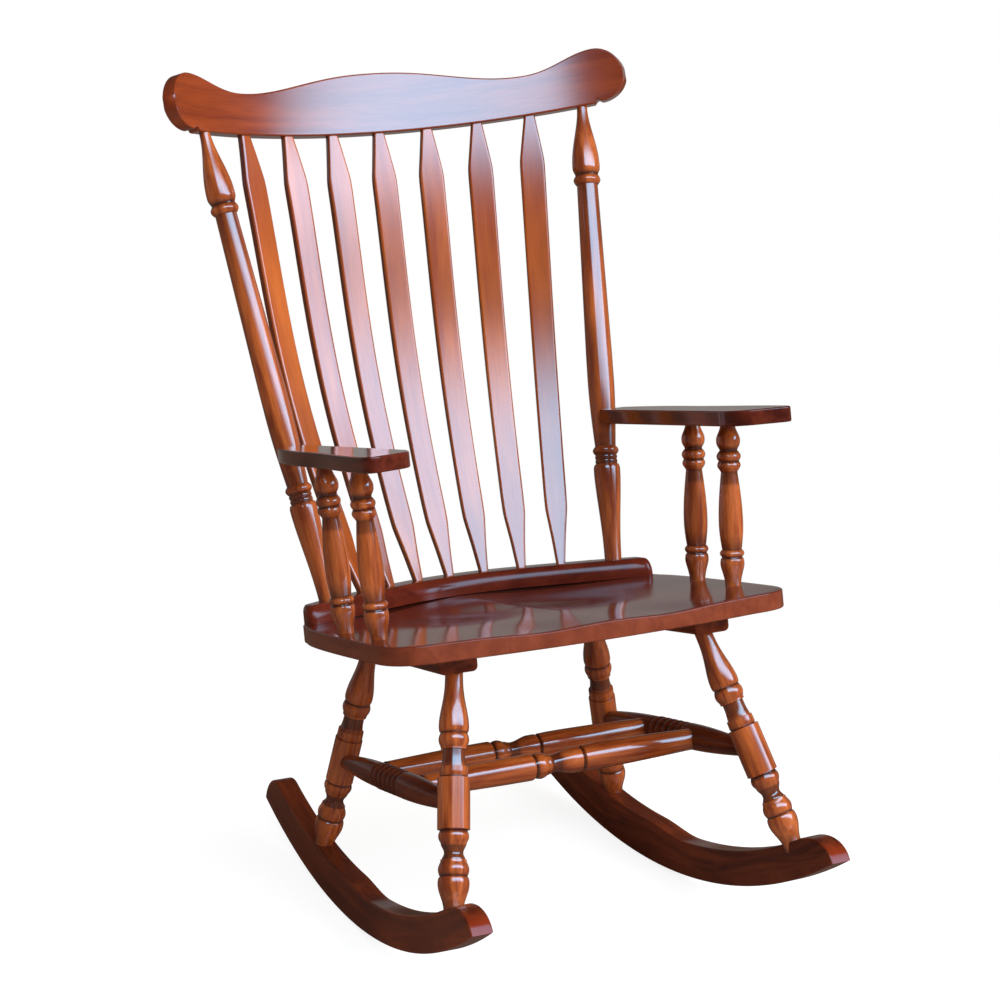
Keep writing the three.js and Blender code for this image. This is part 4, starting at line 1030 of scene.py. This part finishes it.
def build_stretchers():
    ends = []
    for name, side in SIDES:
        rear, front = side_ends(side)
        ends.append((rear, front))
        turned(f"side_stretcher_{name}", SIDE_STRETCHER_SHARES, SIDE_END_SHARE, rear, front, SIDE_DIAMETER,
               STRETCHER_SINK, SHADED_CHERRY_WOOD)
    for end, y in CROSS_Y.items():
        left, right = (rear + (front - rear) * (y - rear[1]) / (front[1] - rear[1]) for rear, front in ends)
        entry = SIDE_DIAMETER / 2 + SHOULDER_GAP
        turned(f"cross_stretcher_{end}", CROSS_STRETCHER_SHARES, CROSS_END_SHARE, beyond(right, left, -entry),
               beyond(left, right, -entry), CROSS_DIAMETER, STRETCHER_SINK, TURNED_WOOD)


# Rockers

def rocker_depth(y):
    return ROCKER_FRONT_DEPTH + (ROCKER_REAR_DEPTH - ROCKER_FRONT_DEPTH) * smooth(*ROCKER_STEP, y)


def rocker_top(y):
    radius = ROCKER_BOTTOM_RADIUS - rocker_depth(y)
    return ROCKER_BOTTOM_Z + ROCKER_BOTTOM_RADIUS - math.sqrt(radius ** 2 - (y - ROCKER_CENTRE_Y) ** 2)


def rocker_outline():
    """Side view of a rocker: Y to the back, Z up."""
    centre_z = ROCKER_BOTTOM_Z + ROCKER_BOTTOM_RADIUS
    quarter = quarter_turn(ROCKER_END_STEPS)[1:-1]
    tail_start = ROCKER_REAR_Y - ROCKER_TAIL_RUN
    nose_end = ROCKER_FRONT_Y + ROCKER_NOSE_RUN

    def arc(y, rise):
        radius = ROCKER_BOTTOM_RADIUS - rise
        angle = math.asin((y - ROCKER_CENTRE_Y) / ROCKER_BOTTOM_RADIUS)
        return ROCKER_CENTRE_Y + radius * math.sin(angle), centre_z - radius * math.cos(angle)

    points = [arc(y, 0) for y in np.linspace(ROCKER_FRONT_Y, ROCKER_REAR_Y, ROCKER_BOTTOM_POINTS)]
    rear_depth = rocker_depth(ROCKER_REAR_Y)
    points += [arc(tail_start + ROCKER_TAIL_RUN * math.cos(a), rear_depth * math.sin(a)) for a in quarter]
    points += [arc(y, rocker_depth(y)) for y in np.linspace(tail_start, nose_end, ROCKER_TOP_POINTS)]
    rise = ROCKER_FRONT_DEPTH - ROCKER_NOSE_DROP
    points += [
        arc(nose_end - ROCKER_NOSE_RUN * math.cos(a), ROCKER_NOSE_DROP + rise * math.sin(a)) for a in quarter[::-1]
    ]
    return np.array(points)


def build_rockers():
    outline = rocker_outline()
    for name, side in SIDES:
        local, rings = board_rings(outline, ROCKER_THICKNESS, ROCKER_EDGE, ROCKER_TRIM)
        x = local[:, 2] - ROCKER_THICKNESS / 2
        y = local[:, 0] - ROCKER_LEG_Y
        turn = side * math.atan(ROCKER_TOE_SHARE)
        points = np.column_stack([
            side * ROCKER_X + x * math.cos(turn) - y * math.sin(turn),
            ROCKER_LEG_Y + x * math.sin(turn) + y * math.cos(turn),
            local[:, 1],
        ])
        centre_z = ROCKER_BOTTOM_Z + ROCKER_BOTTOM_RADIUS
        swing = np.arctan2(local[:, 0] - ROCKER_CENTRE_Y, centre_z - local[:, 1])
        radial = np.hypot(local[:, 0] - ROCKER_CENTRE_Y, centre_z - local[:, 1]) - ROCKER_BOTTOM_RADIUS
        grain = np.column_stack([swing * ROCKER_BOTTOM_RADIUS, radial, local[:, 2]])
        faces = ring_faces(rings, len(outline))
        # Painted light: the nose's end and its narrow edges near the front are lightened, as if the front light fell
        # there.
        edge = abs(x) < ROCKER_THICKNESS / 2 - ROCKER_EDGE / 2
        front = smooth(ROCKER_FRONT_Y + ROCKER_NOSE_RUN / 2, ROCKER_FRONT_Y, local[:, 0])
        nose_painted_light = -ROCKER_NOSE_PAINTED_LIGHT * front * edge
        add_piece(f"runner_{name}", points, faces, SHADED_CHERRY_WOOD, [f"rocker_{name}"], grain, nose_painted_light)


build_seat()
build_rail()
build_plugs()
build_crest()
build_back_posts()
build_spindles()
build_arms()
build_cleats()
build_legs()
build_stretchers()
build_rockers()


# Screws keep their CAD solids

for name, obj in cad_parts.items():
    if "screw" in name:
        obj.data.materials.clear()
        obj.data.materials.append(BRASS if name.startswith("stretcher") else STEEL)


# Light, floor and camera, with lengths in metres but for the camera's place and lens

SOFTBOX_AZIMUTH = math.radians(15)
SOFTBOX_ELEVATION = math.radians(48)
SOFTBOX_ROLL = math.radians(-21)
SOFTBOX_DISTANCE = 3.6
SOFTBOX_ACROSS = (-2.84, 3.95)
SOFTBOX_UP = (-1.27, 0.5)
SOFTBOX_FADE = 0.6
SOFTBOX_RADIANCE = 4.45
SOFTBOX_COLOUR = (0.63, 0.8, 1.0)
AIM_HEIGHT = 0.75
FILL_DIRECTION = (0.6, -0.78, 0.15)
FILL_STRENGTH = 2.9
FILL_COLOUR = (1.0, 0.97, 0.94)
REAR_FILL = 0.6
DIFFUSE_DIM = 0.07
GLOSS_DIM = 0.03
REFLECTED_WHITE = 0.2
SWEEP_HALF_WIDTH = 0.8
SWEEP_FADE = 0.5
SWEEP_TOP = 0.2
SWEEP_START = 1.3
SWEEP_TURN = 2.0
FLOOR_REACH = 12.0
FLOOR_PAPER = (0.3, 0.29, 0.28)
FLOOR_LIFT = 0.85
FLOOR_FADE_START = 0.45
FLOOR_FADE_RUN = 0.45
FLOOR_BOUNCE = (0.42, 0.33, 0.26)
FLOOR_MIRRORED = (0.12, 0.085, 0.065)
CAMERA_IN_SEAT_FRAME = (-1576.81, -3458.9, 455.92)
CAMERA_AZIMUTH = math.radians(25.48)
CAMERA_ELEVATION = math.radians(16.06)
CAMERA_LENS = 100.8
CAMERA_SENSOR = 36


def dot(tree, source, direction):
    made = node(tree, "ShaderNodeVectorMath", operation="DOT_PRODUCT")
    made.inputs[1].default_value = direction
    link(tree, source, made.inputs[0])
    return made.outputs["Value"]


def held(tree, value, factor=1.0):
    """A value times a factor, held between 0 and 1."""
    return math_node(tree, "MULTIPLY", value, factor, clamp=True)


def mix_shaders(tree, factor, a, b):
    made = node(tree, "ShaderNodeMixShader")
    for socket, source in zip(made.inputs, (factor, a.outputs[0], b.outputs[0])):
        link(tree, source, socket)
    return made


def across_sweep(tree, place):
    """1 on a strip along the camera's line of sight, 0 beside it, for a place in metres or a unit direction."""
    aside = math_node(tree, "ABSOLUTE", dot(tree, place, (math.cos(CAMERA_AZIMUTH), -math.sin(CAMERA_AZIMUTH), 0)))
    past = math_node(tree, "DIVIDE", math_node(tree, "SUBTRACT", aside, SWEEP_HALF_WIDTH), SWEEP_FADE, clamp=True)
    return math_node(tree, "SUBTRACT", 1.0, past)


def seen_rays(tree, sweep):
    """Two values: 1 for a ray that gloss or glass mirrors, and the share of the white shown to each ray."""
    path = node(tree, "ShaderNodeLightPath")
    mirrored = math_node(tree, "ADD", path.outputs["Is Glossy Ray"], path.outputs["Is Transmission Ray"], clamp=True)
    shown = math_node(tree, "MULTIPLY", mirrored, math_node(tree, "MULTIPLY", sweep, REFLECTED_WHITE))
    return mirrored, math_node(tree, "ADD", path.outputs["Is Camera Ray"], shown, clamp=True)


def build_floor():
    mesh = bpy.data.meshes.new("floor")
    corners = [(FLOOR_REACH * x, FLOOR_REACH * y, 0) for x, y in ((-1, -1), (1, -1), (1, 1), (-1, 1))]
    mesh.from_pydata(corners, [], [(0, 1, 2, 3)])
    floor = bpy.data.objects.new("floor", mesh)
    bpy.context.scene.collection.objects.link(floor)
    material, tree, _ = new_material("pale_floor")
    tree.nodes.clear()
    place = node(tree, "ShaderNodeTexCoord").outputs["Object"]
    far = node(tree, "ShaderNodeVectorMath", operation="LENGTH")
    link(tree, place, far.inputs[0])
    past_start = math_node(tree, "SUBTRACT", far.outputs["Value"], FLOOR_FADE_START)
    fade = math_node(tree, "DIVIDE", past_start, FLOOR_FADE_RUN, clamp=True)
    paper = node(tree, "ShaderNodeBsdfDiffuse")
    paper.inputs["Color"].default_value = (*FLOOR_PAPER, 1)
    bounce = node(tree, "ShaderNodeBsdfDiffuse")
    glow = node(tree, "ShaderNodeEmission")
    lift = node(tree, "ShaderNodeEmission")
    lift.inputs["Strength"].default_value = FLOOR_LIFT
    lit = node(tree, "ShaderNodeAddShader")
    link(tree, paper.outputs[0], lit.inputs[0])
    link(tree, lift.outputs[0], lit.inputs[1])
    faded = mix_shaders(tree, fade, lit, glow)
    behind = dot(tree, place, (math.sin(CAMERA_AZIMUTH), math.cos(CAMERA_AZIMUTH), 0))
    past = math_node(tree, "SUBTRACT", behind, SWEEP_START)
    sweep = math_node(tree, "MULTIPLY", across_sweep(tree, place), held(tree, past))
    mirrored, white = seen_rays(tree, sweep)
    link(tree, mix_colour(tree, mirrored, FLOOR_BOUNCE, FLOOR_MIRRORED), bounce.inputs["Color"])
    chosen = mix_shaders(tree, white, bounce, faded)
    output = node(tree, "ShaderNodeOutputMaterial")
    link(tree, chosen.outputs[0], output.inputs["Surface"])
    mesh.materials.append(material)


def build_world():
    world = bpy.data.worlds.new("studio")
    bpy.context.scene.world = world
    world.use_nodes = True
    tree = world.node_tree
    tree.nodes.clear()
    way = node(tree, "ShaderNodeTexCoord").outputs["Generated"]
    _, y, z = split(tree, way)
    height = math_node(tree, "DIVIDE", z, SWEEP_TOP, clamp=True)
    behind = held(tree, y, SWEEP_TURN)
    band = math_node(tree, "MULTIPLY", math_node(tree, "SUBTRACT", 1.0, height), behind)
    sweep = math_node(tree, "MULTIPLY", across_sweep(tree, way), band)
    mirrored, white_share = seen_rays(tree, sweep)
    facing = dot(tree, way, FILL_DIRECTION)
    front = held(tree, facing)
    fill = math_node(tree, "MULTIPLY", math_node(tree, "MULTIPLY", front, front), FILL_STRENGTH)
    rear = held(tree, facing, -REAR_FILL)
    fill = math_node(tree, "ADD", math_node(tree, "ADD", fill, rear), DIFFUSE_DIM)
    unmirrored = math_node(tree, "MULTIPLY", math_node(tree, "SUBTRACT", 1.0, mirrored), fill)
    dim = node(tree, "ShaderNodeBackground")
    dim.inputs["Color"].default_value = (*FILL_COLOUR, 1)
    link(tree, math_node(tree, "ADD", unmirrored, GLOSS_DIM), dim.inputs["Strength"])
    white = node(tree, "ShaderNodeBackground")
    white.inputs["Color"].default_value = (1, 1, 1, 1)
    chosen = mix_shaders(tree, white_share, dim, white)
    output = node(tree, "ShaderNodeOutputWorld")
    link(tree, chosen.outputs[0], output.inputs["Surface"])


def smooth_step(tree, value):
    """Eases a value from 0 to 1, held at either end."""
    eased = node(tree, "ShaderNodeMapRange", interpolation_type="SMOOTHSTEP")
    link(tree, value, eased.inputs["Value"])
    return eased.outputs["Result"]


def faded_edge(tree, share, size):
    """0 at either edge of the soft box and 1 beyond its fade, for a place's share of the size."""
    inward = math_node(tree, "SUBTRACT", 0.5, math_node(tree, "ABSOLUTE", math_node(tree, "SUBTRACT", share, 0.5)))
    return smooth_step(tree, math_node(tree, "MULTIPLY", inward, size / (2 * SOFTBOX_FADE)))


def build_softbox():
    level = math.cos(SOFTBOX_ELEVATION)
    direction = Vector((
        level * math.sin(SOFTBOX_AZIMUTH), -level * math.cos(SOFTBOX_AZIMUTH), math.sin(SOFTBOX_ELEVATION),
    ))
    width = SOFTBOX_ACROSS[1] - SOFTBOX_ACROSS[0] + 2 * SOFTBOX_FADE
    height = SOFTBOX_UP[1] - SOFTBOX_UP[0] + 2 * SOFTBOX_FADE
    lamp = bpy.data.lights.new("softbox", "AREA")
    lamp.shape = "RECTANGLE"
    lamp.size, lamp.size_y = width, height
    lamp.energy = SOFTBOX_RADIANCE * math.pi * width * height
    lamp.color = SOFTBOX_COLOUR
    lamp.use_nodes = True
    tree = lamp.node_tree
    across, up, _ = split(tree, node(tree, "ShaderNodeNewGeometry").outputs["Parametric"])
    strength = math_node(tree, "MULTIPLY", faded_edge(tree, across, width), faded_edge(tree, up, height))
    link(tree, strength, tree.nodes["Emission"].inputs["Strength"])
    holder = bpy.data.objects.new("softbox", lamp)
    turn = direction.to_track_quat("Z", "Y").to_matrix().to_4x4() @ Matrix.Rotation(SOFTBOX_ROLL, 4, "Z")
    place = Vector((0, 0, AIM_HEIGHT)) + direction * SOFTBOX_DISTANCE
    shift = Matrix.Translation((sum(SOFTBOX_ACROSS) / 2, sum(SOFTBOX_UP) / 2, 0))
    holder.matrix_world = Matrix.Translation(place) @ turn @ shift
    holder.visible_camera = False
    bpy.context.scene.collection.objects.link(holder)


def build_camera():
    camera = bpy.data.cameras.new("camera")
    camera.lens = CAMERA_LENS
    camera.sensor_width = CAMERA_SENSOR
    holder = bpy.data.objects.new("camera", camera)
    holder.location = TO_WORLD @ Vector(CAMERA_IN_SEAT_FRAME)
    holder.rotation_euler = (math.pi / 2 - CAMERA_ELEVATION, 0, -CAMERA_AZIMUTH)
    bpy.context.scene.collection.objects.link(holder)
    bpy.context.scene.camera = holder


build_floor()
build_world()
build_softbox()
build_camera()
bpy.context.scene.view_settings.view_transform = "Standard"
